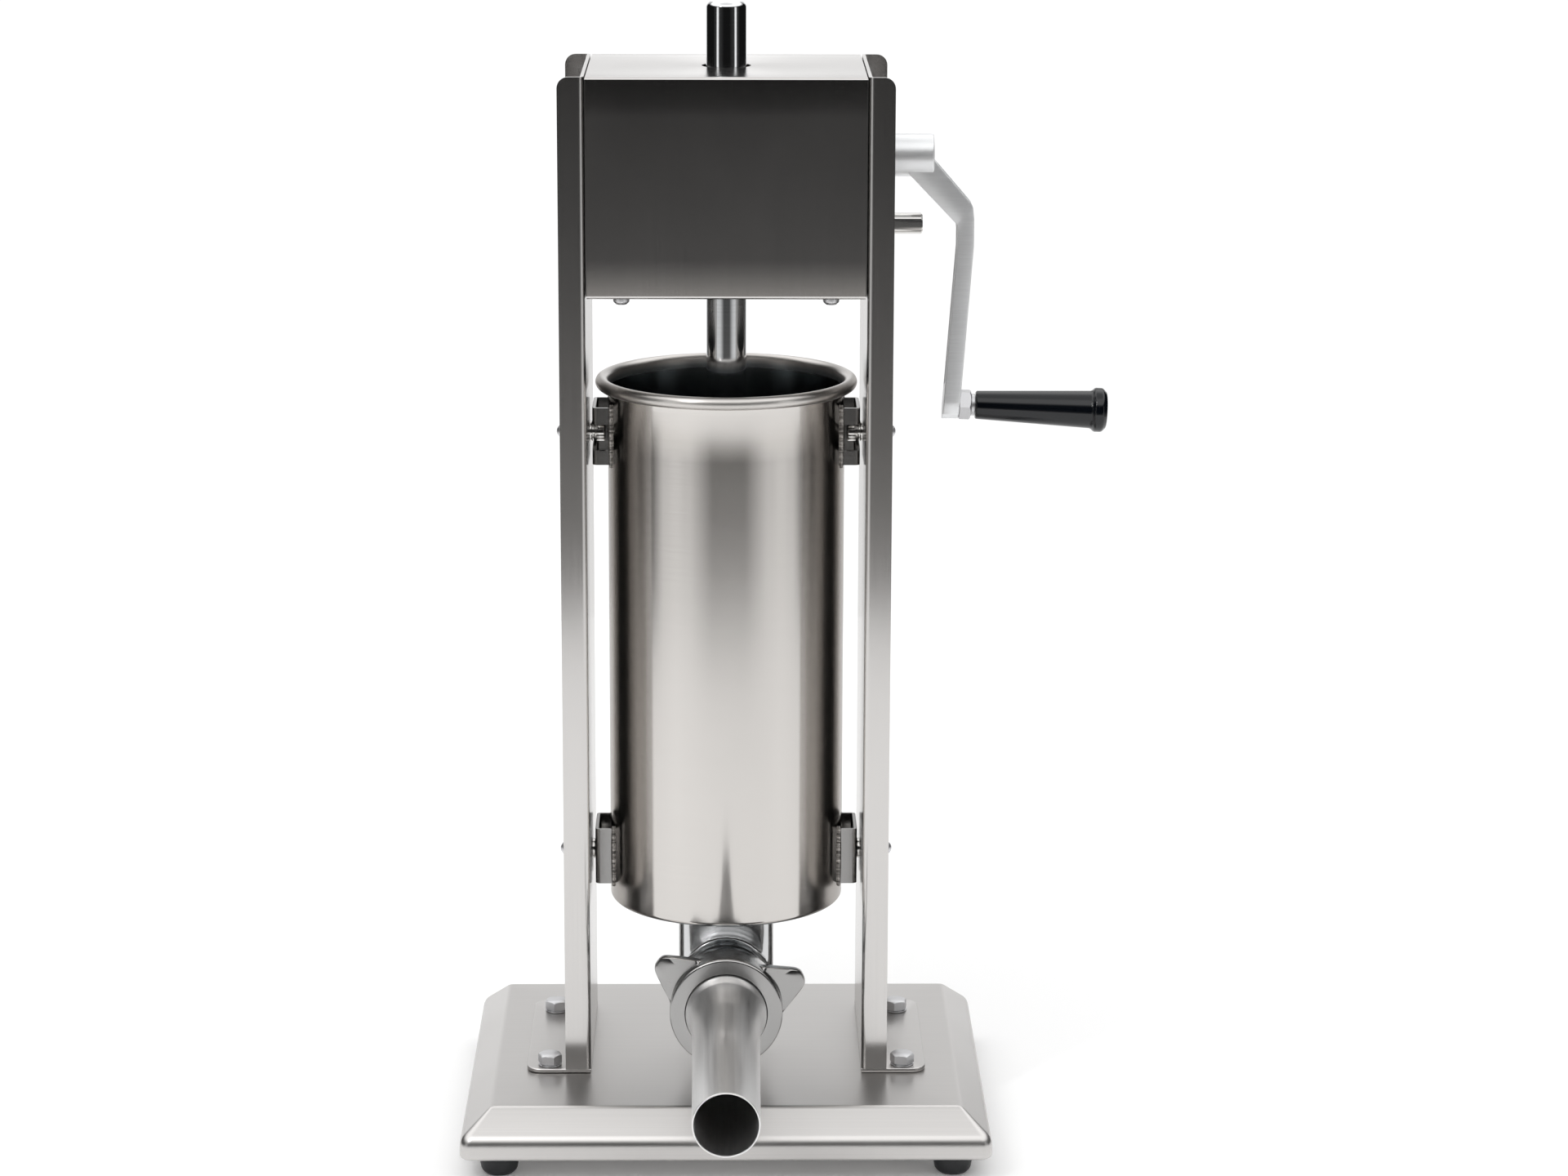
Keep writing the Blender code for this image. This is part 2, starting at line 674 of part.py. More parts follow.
# ---------------------------------------------------------------- barrel
def make_barrel(machine):
    """A straight cup: flat floor with an outlet hole, thin wall and a rolled rim."""
    bead_z = BARREL_RIM - RIM_BEAD
    bead = arc((RIM_CENTRE_RADIUS, bead_z), RIM_BEAD, -110, 150, 6)
    profile = [(0, BARREL_BOTTOM), (BARREL_RADIUS - BARREL_EDGE, BARREL_BOTTOM)]
    profile += [(BARREL_RADIUS, BARREL_BOTTOM + BARREL_EDGE)]
    profile += [(BARREL_RADIUS, bead_z - RIM_BEAD * 1.4)]
    profile += bead
    profile += [(BARREL_INNER, bead_z - RIM_BEAD * 0.9), (BARREL_INNER, FLOOR_TOP)]
    profile += [(0, FLOOR_TOP)]
    barrel = solid("barrel", turned(profile, "Z", BARREL_SIDES), polished_steel(), machine)
    hole = cylinder(
        OUTLET_DROP_RADIUS,
        "Z",
        BARREL_BOTTOM - 0.002,
        FLOOR_TOP + 0.002,
        (0, OUTLET_DROP_Y),
        28,
    )
    cut(barrel, "barrel_outlet_hole", hole)


def make_bracket(machine, name, side, pin_z, opens_forward):
    """A folded bracket welded to the barrel; its slot drops over or slides onto a pin."""
    half = BRACKET_DEPTH / 2
    leg_end = math.sqrt((BARREL_RADIUS + GAP) ** 2 - (half - BRACKET_SHEET) ** 2)
    outline = channel_outline(
        -BRACKET_OUT, -leg_end, half, BRACKET_SHEET, BRACKET_BEND
    )
    low = pin_z - BRACKET_HEIGHT / 2
    high = pin_z + BRACKET_HEIGHT / 2
    bm = prism(mirrored(outline, -side), "Z", low, high)
    bracket = solid(name, bm, brushed_steel(), machine)
    clear = PIN_RADIUS + PIN_SLOT_GAP
    if opens_forward:
        slot = arc((0, pin_z), clear, 90, -90, 6)
        slot += [(-half / 2, pin_z - clear), (-half * 1.4, pin_z - clear * 1.6)]
        slot += [(-half * 1.4, pin_z + clear * 1.1), (-half / 2, pin_z + clear)]
        near, far = leg_end - 0.004, BRACKET_OUT + 0.004
    else:
        slot = arc((0, pin_z), clear, 0, 180, 6)
        slot += [(-clear, low - 0.004), (clear, low - 0.004)]
        near, far = BRACKET_OUT - BRACKET_SHEET - 0.001, BRACKET_OUT + 0.004
    cut(bracket, f"{name}_slot", prism(slot, "X", *span(side, near, far)))


def make_hanger_pin(machine, name, side, pin_z):
    """A shouldered pin with a groove at the column, and a cap nut in the channel outside."""
    inner_end = BARREL_RADIUS + PIN_TO_BARREL
    shoulder = COLUMN_INNER - GAP
    groove_far = shoulder - PIN_GROOVE_WIDTH
    groove_near = groove_far - PIN_GROOVE_WIDTH
    thread_end = COLUMN_WEB_OUT + PIN_THREAD_LENGTH
    profile = [
        (0, side * inner_end),
        (PIN_RADIUS - 0.0006, side * inner_end),
        (PIN_RADIUS, side * (inner_end + 0.0006)),
        (PIN_RADIUS, side * groove_near),
        (PIN_RADIUS - PIN_GROOVE_DEPTH, side * groove_near),
        (PIN_RADIUS - PIN_GROOVE_DEPTH, side * groove_far),
        (PIN_RADIUS, side * groove_far),
        (PIN_RADIUS, side * shoulder),
        (PIN_THREAD_RADIUS, side * shoulder),
        (PIN_THREAD_RADIUS, side * thread_end),
        (0, side * thread_end),
    ]
    bm = turned(profile, "X", 14, (0, pin_z))
    solid(f"{name}_pin", bm, polished_steel(), machine)

    seat = COLUMN_WEB_OUT + GAP
    hex_end = seat + CAP_NUT_HEX_HEIGHT
    nut_end = seat + CAP_NUT_HEIGHT
    outline = hexagon(CAP_NUT_HEX, (0, pin_z), math.pi / 6)
    nut = solid(
        f"{name}_cap_nut", prism(outline, "X", *span(side, seat, hex_end)), zinc_plate(), machine
    )
    dome_radius = CAP_NUT_HEX * 0.48
    dome = arc((0, 0), 1.0, 0, 75, 3)
    dome_height = nut_end - hex_end
    profile = [(0, side * (hex_end - 0.001)), (dome_radius, side * (hex_end - 0.001))]
    profile += [(dome_radius * u, side * (hex_end + dome_height * v)) for u, v in dome]
    profile += [(0, side * nut_end)]
    join(nut, f"{name}_cap_nut_dome", turned(profile, "X", 12, (0, pin_z)))
    bore_end = thread_end + GAP
    bore = cylinder(
        PIN_THREAD_RADIUS + GAP, "X", *span(side, seat - 0.002, bore_end), (0, pin_z), 14
    )
    cut(nut, f"{name}_cap_nut_bore", bore)


def make_hanging(machine):
    for side_name, side in SIDES.items():
        make_hanger_pin(machine, f"upper_{side_name}", side, UPPER_PIN_Z)
        make_hanger_pin(machine, f"lower_{side_name}", side, LOWER_PIN_Z)
        make_bracket(machine, f"upper_bracket_{side_name}", side, UPPER_PIN_Z, True)
        make_bracket(machine, f"lower_bracket_{side_name}", side, LOWER_PIN_Z, False)


# ---------------------------------------------------------------- gear case
def case_bolt_places():
    yield "top", CASE_BOLT_Y, CASE_TOP - CASE_BOLT_INSET
    yield "bottom", -CASE_BOLT_Y, CASE_FLOOR + CASE_BOLT_INSET


def shaft_places():
    yield "upper", UPPER_SHAFT_Z
    yield "lower", LOWER_SHAFT_Z


def make_gear_case(machine):
    """The case's inner frame: a folded U of floor and sides, with a bridge for the top guide."""
    side_top = CASE_TOP - COVER_SHEET - GAP
    outer = [
        (-CASE_SIDE_OUT, side_top),
        (-CASE_SIDE_OUT, CASE_FLOOR),
        (CASE_SIDE_OUT, CASE_FLOOR),
        (CASE_SIDE_OUT, side_top),
    ]
    floor_top = CASE_FLOOR + CASE_SHEET
    inner = [
        (CASE_SIDE_IN, side_top),
        (CASE_SIDE_IN, floor_top),
        (-CASE_SIDE_IN, floor_top),
        (-CASE_SIDE_IN, side_top),
    ]
    bm = prism(outer + inner, "Y", -CASE_PLATE_HALF, CASE_PLATE_HALF)
    case = solid("gear_case", bm, brushed_steel(), machine)
    low = (-CASE_SIDE_IN - 0.001, -GUIDE_BRIDGE_DEPTH / 2, GUIDE_BRIDGE_TOP - CASE_SHEET)
    high = (CASE_SIDE_IN + 0.001, GUIDE_BRIDGE_DEPTH / 2, GUIDE_BRIDGE_TOP)
    join(case, "guide_bridge", box(low, high))

    reach = CASE_SIDE_OUT + 0.004
    for place, z in shaft_places():
        hole = cylinder(BUSH_RADIUS + GAP, "X", -reach, reach, (SHAFT_Y, z), 18)
        cut(case, f"bush_holes_{place}", hole)
    for place, y, z in case_bolt_places():
        hole = cylinder(CASE_BOLT_RADIUS + GAP, "X", -reach, reach, (y, z), 12)
        cut(case, f"case_bolt_holes_{place}", hole)
    guide = ROD_RADIUS + RUNNING_GAP + GUIDE_WALL + GAP
    bore = cylinder(guide, "Z", CASE_FLOOR - 0.002, GUIDE_BRIDGE_TOP + 0.002, (0, 0), 24)
    cut(case, "guide_holes", bore)
    for place, x, y in cover_screw_places():
        hole = cylinder(
            COVER_SCREW_RADIUS + GAP, "Z", CASE_FLOOR - 0.002, floor_top + 0.002, (x, y), 12
        )
        cut(case, f"case_screw_hole_{place}", hole)


def cover_outline():
    """Front, top and back in one folded strip, with a lip turned in under front and back."""
    half = CASE_HALF_DEPTH
    bend = COVER_BEND
    sheet = COVER_SHEET
    lip_end = half - COVER_LIP
    inner = bend - sheet
    top = CASE_TOP
    low = CASE_BOTTOM
    outer = [(-lip_end, low)]
    outer += arc((bend - half, low + bend), bend, 270, 180, 2)
    outer += arc((bend - half, top - bend), bend, 180, 90, 2)
    outer += arc((half - bend, top - bend), bend, 90, 0, 2)
    outer += arc((half - bend, low + bend), bend, 0, -90, 2)
    outer += [(lip_end, low)]
    back = [(lip_end, low + sheet)]
    back += arc((half - bend, low + bend), inner, -90, 0, 2)
    back += arc((half - bend, top - bend), inner, 0, 90, 2)
    back += arc((bend - half, top - bend), inner, 90, 180, 2)
    back += arc((bend - half, low + bend), inner, 180, 270, 2)
    back += [(-lip_end, low + sheet)]
    return outer + back


def cover_screw_places():
    for side_name, side in SIDES.items():
        y = COVER_SCREW_FROM_FRONT - CASE_HALF_DEPTH
        yield side_name, side * COVER_SCREW_OUT, y


def make_cover(machine):
    bm = prism(cover_outline(), "X", -COVER_HALF_WIDTH, COVER_HALF_WIDTH)
    cover = solid("case_cover", bm, brushed_steel(), machine)
    low = CASE_TOP - COVER_SHEET - 0.002
    cut(cover, "rod_hole", cylinder(ROD_HOLE_RADIUS, "Z", low, CASE_TOP + 0.002, (0, 0), 32))
    for place, x, y in cover_screw_places():
        low, high = CASE_BOTTOM - 0.002, CASE_BOTTOM + COVER_SHEET + 0.002
        hole = cylinder(COVER_SCREW_RADIUS + HOLE_CLEARANCE, "Z", low, high, (x, y), 12)
        cut(cover, f"cover_hole_{place}", hole)
        seat = CASE_BOTTOM - GAP
        tip = seat + COVER_SCREW_LENGTH
        profile = [
            (0, seat - COVER_SCREW_HEAD),
            (COVER_SCREW_HEAD_RADIUS * 0.55, seat - COVER_SCREW_HEAD),
            (COVER_SCREW_HEAD_RADIUS * 0.88, seat - COVER_SCREW_HEAD * 0.72),
            (COVER_SCREW_HEAD_RADIUS, seat - COVER_SCREW_HEAD * 0.2),
            (COVER_SCREW_HEAD_RADIUS, seat),
            (COVER_SCREW_RADIUS, seat),
            (COVER_SCREW_RADIUS, tip),
            (0, tip),
        ]
        bm = turned(profile, "Z", 12, (x, y))
        solid(f"cover_screw_{place}", bm, zinc_plate(), machine)


def make_case_bolts(machine):
    seat = COLUMN_WEB_OUT + GAP
    tip = seat - CASE_BOLT_LENGTH
    head_end = seat + CASE_BOLT_HEAD
    for side_name, side in SIDES.items():
        profile = [
            (0, side * tip),
            (CASE_BOLT_RADIUS, side * tip),
            (CASE_BOLT_RADIUS, side * seat),
            (CASE_BOLT_HEAD_RADIUS, side * seat),
            (CASE_BOLT_HEAD_RADIUS, side * (head_end - CASE_BOLT_HEAD * 0.4)),
            (CASE_BOLT_HEAD_RADIUS * 0.7, side * head_end),
            (0, side * head_end),
        ]
        for place, y, z in case_bolt_places():
            bm = turned(profile, "X", 12, (y, z))
            solid(f"case_bolt_{place}_{side_name}", bm, zinc_plate(), machine)


def make_bushes(machine):
    """Flanged bushes in the case's side plates, one at each end of each shaft."""
    bore = SHAFT_RADIUS + RUNNING_GAP
    flange_in = CASE_SIDE_IN - GAP - BUSH_FLANGE
    flange_out = CASE_SIDE_IN - GAP
    for side_name, side in SIDES.items():
        far = COLUMN_WEB_OUT if side > 0 else CASE_SIDE_OUT
        profile = [
            (bore, side * flange_in),
            (BUSH_FLANGE_RADIUS, side * flange_in),
            (BUSH_FLANGE_RADIUS, side * flange_out),
            (BUSH_RADIUS, side * flange_out),
            (BUSH_RADIUS, side * far),
            (bore, side * far),
        ]
        for place, z in shaft_places():
            bm = turned(profile, "X", 18, (SHAFT_Y, z))
            solid(f"{place}_bush_{side_name}", bm, bronze(), machine)


def make_rod_guides(machine):
    bore = ROD_RADIUS + RUNNING_GAP
    body = bore + GUIDE_WALL
    for place, seat in (("upper", GUIDE_BRIDGE_TOP), ("lower", CASE_FLOOR + CASE_SHEET)):
        top = seat + GAP + GUIDE_FLANGE
        low = top - GUIDE_LENGTH if place == "upper" else CASE_FLOOR
        profile = [
            (bore, low),
            (body, low),
            (body, seat + GAP),
            (GUIDE_FLANGE_RADIUS, seat + GAP),
            (GUIDE_FLANGE_RADIUS, top),
            (bore, top),
        ]
        solid(f"rod_guide_{place}", turned(profile, "Z", 24), bronze(), machine)


# ---------------------------------------------------------------- gears, shafts and rack
def involute(angle):
    return math.tan(angle) - angle


def gear_outline(teeth, first_tooth, steps=2):
    """An involute gear round (0, 0), with a tooth centred on the angle first_tooth."""
    pitch_radius = MODULE * teeth / 2
    base_radius = pitch_radius * math.cos(PRESSURE_ANGLE)
    root_radius = pitch_radius - DEDENDUM * MODULE
    tip_radius = pitch_radius + MODULE
    half_tooth = math.pi / (2 * teeth) - TOOTH_THINNING / (2 * pitch_radius)
    start_radius = max(base_radius, root_radius)
    flank = []
    if root_radius < base_radius:
        flank.append((root_radius, half_tooth + involute(PRESSURE_ANGLE)))
    for i in range(steps + 1):
        radius = start_radius + (tip_radius - start_radius) * i / steps
        roll = math.acos(min(1.0, base_radius / radius))
        flank.append((radius, half_tooth + involute(PRESSURE_ANGLE) - involute(roll)))
    points = []
    for tooth in range(teeth):
        middle = first_tooth + 2 * math.pi * tooth / teeth
        polar = [(radius, middle - turn) for radius, turn in flank]
        polar += [(radius, middle + turn) for radius, turn in reversed(flank)]
        points += [(r * math.cos(a), r * math.sin(a)) for r, a in polar]
    return points


def make_gear(name, parent, teeth, first_tooth, middle, width, boss=0.0):
    bm = prism(gear_outline(teeth, first_tooth), "X", middle - width / 2, middle + width / 2)
    gear = solid(name, bm, gear_steel(), parent)
    far = middle + width / 2 + boss
    if boss:
        join(gear, f"{name}_boss", cylinder(GEAR_BOSS_RADIUS, "X", middle, far, (0, 0), 24))
    bore = SHAFT_RADIUS + GAP
    cut(gear, f"{name}_bore", cylinder(bore, "X", middle - width, far + 0.002, (0, 0), 24))


def make_shaft(name, parent, far, flat_length):
    """A round shaft across the case with chamfered ends and a flat milled on its outer end."""
    near = -CASE_SIDE_OUT
    chamfer = 0.0010
    profile = [
        (0, near),
        (SHAFT_RADIUS - chamfer, near),
        (SHAFT_RADIUS, near + chamfer),
        (SHAFT_RADIUS, far - chamfer),
        (SHAFT_RADIUS - chamfer, far),
        (0, far),
    ]
    shaft = solid(name, turned(profile, "X", 24), zinc_plate(), parent)
    flat = SHAFT_RADIUS - STUB_FLAT_DEPTH
    low = (far - flat_length, flat, -2 * SHAFT_RADIUS)
    high = (far + 0.002, 2 * SHAFT_RADIUS, 2 * SHAFT_RADIUS)
    cut(shaft, f"{name}_flat", box(low, high))


def make_drive(machine):
    """Rack shaft with crank, and reduction shaft below it; both turn about X."""
    rack_axis = empty("rack_shaft_axis", (0, SHAFT_Y, UPPER_SHAFT_Z), machine)
    reduction_axis = empty("reduction_shaft_axis", (0, SHAFT_Y, LOWER_SHAFT_Z), machine)
    half_tooth = math.pi / PINION_TEETH
    down = -math.pi / 2
    up = math.pi / 2
    make_shaft("rack_shaft", rack_axis, HUB_END - 0.002, HUB_END - HUB_START)
    make_shaft("reduction_shaft", reduction_axis, STUB_REACH, STUB_FLAT_LENGTH)
    make_gear("rack_pinion", rack_axis, PINION_TEETH, math.pi, 0, RACK_PINION_WIDTH)
    make_gear(
        "large_gear",
        rack_axis,
        LARGE_GEAR_TEETH,
        down,
        LARGE_GEAR_X,
        LARGE_GEAR_WIDTH,
        GEAR_BOSS_LENGTH,
    )
    make_gear(
        "small_pinion",
        reduction_axis,
        PINION_TEETH,
        up + half_tooth,
        LARGE_GEAR_X,
        SMALL_PINION_WIDTH,
    )
    make_crank(rack_axis)


def rack_profile(low, high):
    """(y, z) points down the ram's toothed back: tooth tips, flanks and roots, low to high."""
    pitch = math.pi * MODULE
    slope = math.tan(PRESSURE_ANGLE)
    half_space = pitch / 4 + TOOTH_THINNING / 2
    tip = RACK_PITCH_LINE + MODULE
    root = RACK_PITCH_LINE - DEDENDUM * MODULE
    at_tip = half_space + MODULE * slope
    at_root = half_space - DEDENDUM * MODULE * slope
    first = math.ceil((low - UPPER_SHAFT_Z) / pitch)
    last = math.floor((high - UPPER_SHAFT_Z) / pitch)
    points = []
    for index in range(first, last + 1):
        middle = UPPER_SHAFT_Z + index * pitch
        points.append((tip, middle - at_tip))
        points.append((root, middle - at_root))
        points.append((root, middle + at_root))
        points.append((tip, middle + at_tip))
    return points


def make_ram(machine):
    """The toothed rod, turned down at its foot to a stud that carries the piston."""
    stud_low = PISTON_LOW - GAP - PISTON_NUT_HEIGHT - STUD_PROUD
    shoulder = PISTON_TOP + GAP
    chamfer = ROD_CHAMFER
    profile = [
        (0, stud_low),
        (STUD_RADIUS, stud_low),
        (STUD_RADIUS, shoulder),
        (ROD_RADIUS, shoulder),
        (ROD_RADIUS, ROD_TOP - chamfer),
        (ROD_RADIUS - chamfer * 0.5, ROD_TOP - chamfer * 0.25),
        (ROD_RADIUS - chamfer, ROD_TOP),
        (0, ROD_TOP),
    ]
    rod = solid("rack_rod", turned(profile, "Z", 18), chrome(), machine)
    low = UPPER_SHAFT_Z - TRAVEL_UP - RACK_MARGIN
    high = UPPER_SHAFT_Z + TRAVEL_DOWN + RACK_MARGIN
    teeth = rack_profile(low, high)
    clear = 2 * ROD_RADIUS
    outline = teeth + [(clear, teeth[-1][1]), (clear, teeth[0][1])]
    cut(rod, "rack_gaps", prism(outline, "X", -clear, clear))


# ---------------------------------------------------------------- piston
def make_piston(machine):
    """A spool-shaped plate with a seal in its groove, held on the stud by a nut."""
    bore = STUD_RADIUS + GAP
    groove = SEAL_RADIUS - SEAL_DEPTH
    profile = [
        (bore, PISTON_LOW),
        (PISTON_RADIUS, PISTON_LOW),
        (PISTON_RADIUS, PISTON_LOW + PISTON_RIB),
        (groove, PISTON_LOW + PISTON_RIB),
        (groove, PISTON_TOP - PISTON_RIB),
        (PISTON_RADIUS, PISTON_TOP - PISTON_RIB),
        (PISTON_RADIUS, PISTON_TOP),
        (bore, PISTON_TOP),
    ]
    piston = solid("piston", turned(profile, "Z", BARREL_SIDES), polished_steel(), machine)
    hole = cylinder(
        VALVE_STEM_RADIUS + GAP,
        "Z",
        PISTON_LOW - 0.002,
        PISTON_TOP + 0.002,
        (-VALVE_OFFSET, 0),
        16,
    )
    cut(piston, "valve_hole", hole)

    low = PISTON_LOW + PISTON_RIB + GAP
    high = PISTON_TOP - PISTON_RIB - GAP
    inner = groove + GAP
    edge = 0.0010
    profile = [
        (inner, low),
        (SEAL_RADIUS - edge, low),
        (SEAL_RADIUS, low + edge),
        (SEAL_RADIUS, high - edge),
        (SEAL_RADIUS - edge, high),
        (inner, high),
    ]
    solid("piston_seal", turned(profile, "Z", BARREL_SIDES), food_seal(), machine)

    high = PISTON_LOW - GAP
    low = high - PISTON_NUT_HEIGHT
    nut = solid("piston_nut", prism(hexagon(PISTON_NUT_HEX), "Z", low, high), zinc_plate(), machine)
    cut(nut, "piston_nut_bore", cylinder(bore, "Z", low - 0.002, high + 0.002, (0, 0), 20))


def make_air_valve(machine):
    """A loose poppet: its cap rests on the piston, its keeper stops it lifting out."""
    axis = empty("air_valve_axis", (-VALVE_OFFSET, 0, PISTON_TOP), machine)
    seat = GAP
    keeper_top = -PISTON_HEIGHT - GAP - VALVE_LIFT
    keeper_low = keeper_top - VALVE_KEEPER_HEIGHT
    cap_top = seat + VALVE_CAP_HEIGHT
    profile = [
        (0, keeper_low),
        (VALVE_KEEPER_RADIUS, keeper_low),
        (VALVE_KEEPER_RADIUS, keeper_top),
        (VALVE_STEM_RADIUS, keeper_top),
        (VALVE_STEM_RADIUS, seat),
        (VALVE_CAP_RADIUS, seat),
        (VALVE_CAP_RADIUS, cap_top - 0.0010),
        (VALVE_CAP_RADIUS - 0.0010, cap_top),
        (0, cap_top),
    ]
    solid("air_valve", turned(profile, "Z", 16), food_seal(), axis)


# ---------------------------------------------------------------- crank
def arm_outer():
    """Points down the arm's outer edge, seen from the front, from the hub to the foot."""
    half = ARM_THICKNESS / 2
    return [
        (HUB_END - 0.0010, -HUB_RADIUS * 0.10),
        (ARM_BEND_X + half * 0.70, -ARM_BEND_DROP + half * 1.9),
        (ARM_BEND_X + half, -ARM_BEND_DROP + half * 0.5),
        (ARM_BEND_X + half, -ARM_BEND_LOW),
        (arm_end_x() + half, -ARM_THROW - ARM_END_RADIUS),
    ]


def arm_inner():
    """Points up the arm's inner edge, from the foot back to the hub."""
    half = ARM_THICKNESS / 2
    return [
        (arm_end_x() - half, -ARM_THROW - ARM_END_RADIUS),
        (ARM_BEND_X - half, -ARM_BEND_LOW),
        (ARM_BEND_X - half, -ARM_BEND_DROP - ARM_THICKNESS * 0.35),
        (HUB_START + 0.0170, -HUB_RADIUS * 0.60),
    ]


def arm_end_x():
    lean = (ARM_BEND_X - ARM_FOOT_X) / (ARM_THROW - ARM_BEND_LOW)
    return ARM_FOOT_X - lean * ARM_END_RADIUS


def arm_pocket():
    """The groove down the arm's outer edge, which leaves a rib on each side of it."""
    depth = ARM_POCKET_DEPTH
    outer = arm_outer()
    low_z = -ARM_THROW + GRIP_NUT_HEX
    (top_x, top_z), (foot_x, foot_z) = outer[3:5]
    low_x = top_x + (foot_x - top_x) * (top_z - low_z) / (top_z - foot_z)
    start = [0.6 * a + 0.4 * b for a, b in zip(outer[0], outer[1])]
    floor = [start] + [(x - depth, z - depth * 0.4) for x, z in outer[1:4]]
    floor += [(low_x - depth, low_z)]
    beyond = [(x + 3 * depth, z + 3 * depth) for x, z in reversed(floor)]
    return floor + beyond


def make_crank(rack_axis):
    """One casting: hub, dog-leg arm grooved down its outer edge, and a rounded foot."""
    arm_half = ARM_WIDTH / 2
    bm = prism(arm_outer() + arm_inner(), "Y", -arm_half, arm_half)
    arm = solid("crank_arm", bm, cast_alloy(), rack_axis)
    groove_half = ARM_POCKET_WIDTH / 2
    cut(arm, "arm_pocket", prism(arm_pocket(), "Y", -groove_half, groove_half))

    foot = [(-2 * arm_half, -ARM_THROW - 2 * arm_half), (-2 * arm_half, -ARM_THROW)]
    foot += arc((0, -ARM_THROW), ARM_END_RADIUS, 180, 360, 10)
    foot += [(2 * arm_half, -ARM_THROW), (2 * arm_half, -ARM_THROW - 2 * arm_half)]
    cut(arm, "arm_foot_round", prism(foot, "X", HUB_END, ARM_BEND_X + ARM_THICKNESS))

    edge = 0.0008
    profile = [
        (0, HUB_START),
        (HUB_RADIUS - edge, HUB_START),
        (HUB_RADIUS, HUB_START + edge),
        (HUB_RADIUS, HUB_END - edge),
        (HUB_RADIUS - edge, HUB_END),
        (0, HUB_END),
    ]
    join(arm, "crank_hub", turned(profile, "X", 32))
    bore = cylinder(SHAFT_RADIUS + GAP, "X", HUB_START - 0.002, HUB_END - 0.0015, (0, 0), 24)
    cut(arm, "hub_bore", bore)
    screw_x = (HUB_START + HUB_END) / 2
    hole = cylinder(
        SET_SCREW_RADIUS + GAP, "Y", SHAFT_RADIUS / 2, 2 * HUB_RADIUS, (screw_x, 0), 12
    )
    cut(arm, "set_screw_hole", hole)
    screw_low = SHAFT_RADIUS - STUB_FLAT_DEPTH + GAP
    screw = cylinder(SET_SCREW_RADIUS, "Y", screw_low, HUB_RADIUS - 0.0006, (screw_x, 0), 12)
    set_screw = solid("crank_set_screw", screw, gear_steel(), rack_axis)
    socket = prism(hexagon(0.003, (screw_x, 0)), "Y", HUB_RADIUS - 0.003, HUB_RADIUS + 0.001)
    cut(set_screw, "set_screw_socket", socket)
    make_grip(rack_axis, arm)


def make_grip(rack_axis, arm):
    """Shoulder bolt, lock nut and free-turning grip, on an axis that droops a little."""
    face = ARM_FOOT_X + ARM_THICKNESS / 2
    bolt_axis = empty("grip_axis", (face, 0, -ARM_THROW), rack_axis, (0, GRIP_TILT, 0))
    thread_low = -ARM_THICKNESS * 0.85
    bore = helper(
        "grip_bolt_hole",
        cylinder(GRIP_BOLT_RADIUS + GAP, "X", -2 * ARM_THICKNESS, ARM_THICKNESS, (0, 0), 16),
        bolt_axis,
    )
    boolean(arm, bore, "DIFFERENCE")
    facing = helper(
        "grip_nut_facing",
        cylinder(GRIP_NUT_HEX * 0.66, "X", -GAP, 2 * ARM_THICKNESS, (0, 0), 24),
        bolt_axis,
    )
    boolean(arm, facing, "DIFFERENCE")

    collar_low = GRIP_NUT_HEIGHT + GAP
    collar_high = collar_low + GRIP_COLLAR
    end = GRIP_START + GRIP_LENGTH
    head_low = end - GRIP_RECESS_DEPTH + GAP
    profile = [
        (0, thread_low),
        (GRIP_BOLT_RADIUS, thread_low),
        (GRIP_BOLT_RADIUS, collar_low),
        (GRIP_COLLAR_RADIUS, collar_low),
        (GRIP_COLLAR_RADIUS, collar_high),
        (GRIP_BOLT_RADIUS, collar_high),
        (GRIP_BOLT_RADIUS, head_low),
        (GRIP_BOLT_HEAD_RADIUS, head_low),
        (GRIP_BOLT_HEAD_RADIUS, head_low + GRIP_BOLT_HEAD * 0.6),
        (GRIP_BOLT_HEAD_RADIUS * 0.7, head_low + GRIP_BOLT_HEAD),
        (0, head_low + GRIP_BOLT_HEAD),
    ]
    solid("grip_bolt", turned(profile, "X", 14), zinc_plate(), bolt_axis)

    bm = prism(hexagon(GRIP_NUT_HEX, (0, 0), math.pi / 6), "X", 0, GRIP_NUT_HEIGHT)
    nut = solid("grip_nut", bm, zinc_plate(), bolt_axis)
    bore = GRIP_BOLT_RADIUS + GAP
    cut(nut, "grip_nut_bore", cylinder(bore, "X", -0.002, GRIP_NUT_HEIGHT + 0.002, (0, 0), 14))

    bulb_start = end - GRIP_BULB_LENGTH
    bulb_middle = end - GRIP_BULB_LENGTH / 2
    bore = GRIP_BOLT_RADIUS + RUNNING_GAP
    recess = GRIP_RECESS_RADIUS
    profile = [
        (bore, GRIP_START),
        (GRIP_ROOT_RADIUS - 0.0012, GRIP_START),
        (GRIP_ROOT_RADIUS, GRIP_START + 0.0014),
        (GRIP_END_RADIUS, bulb_start),
        (GRIP_BULB_RADIUS - 0.0008, bulb_start + 0.0018),
        (GRIP_BULB_RADIUS, bulb_middle),
        (GRIP_BULB_RADIUS - 0.0012, end - 0.0018),
        (GRIP_BULB_RADIUS - 0.0042, end),
        (recess, end),
        (recess, end - GRIP_RECESS_DEPTH),
        (bore, end - GRIP_RECESS_DEPTH),
    ]
    solid("handle_grip", turned(profile, "X", 24), black_plastic(), bolt_axis)


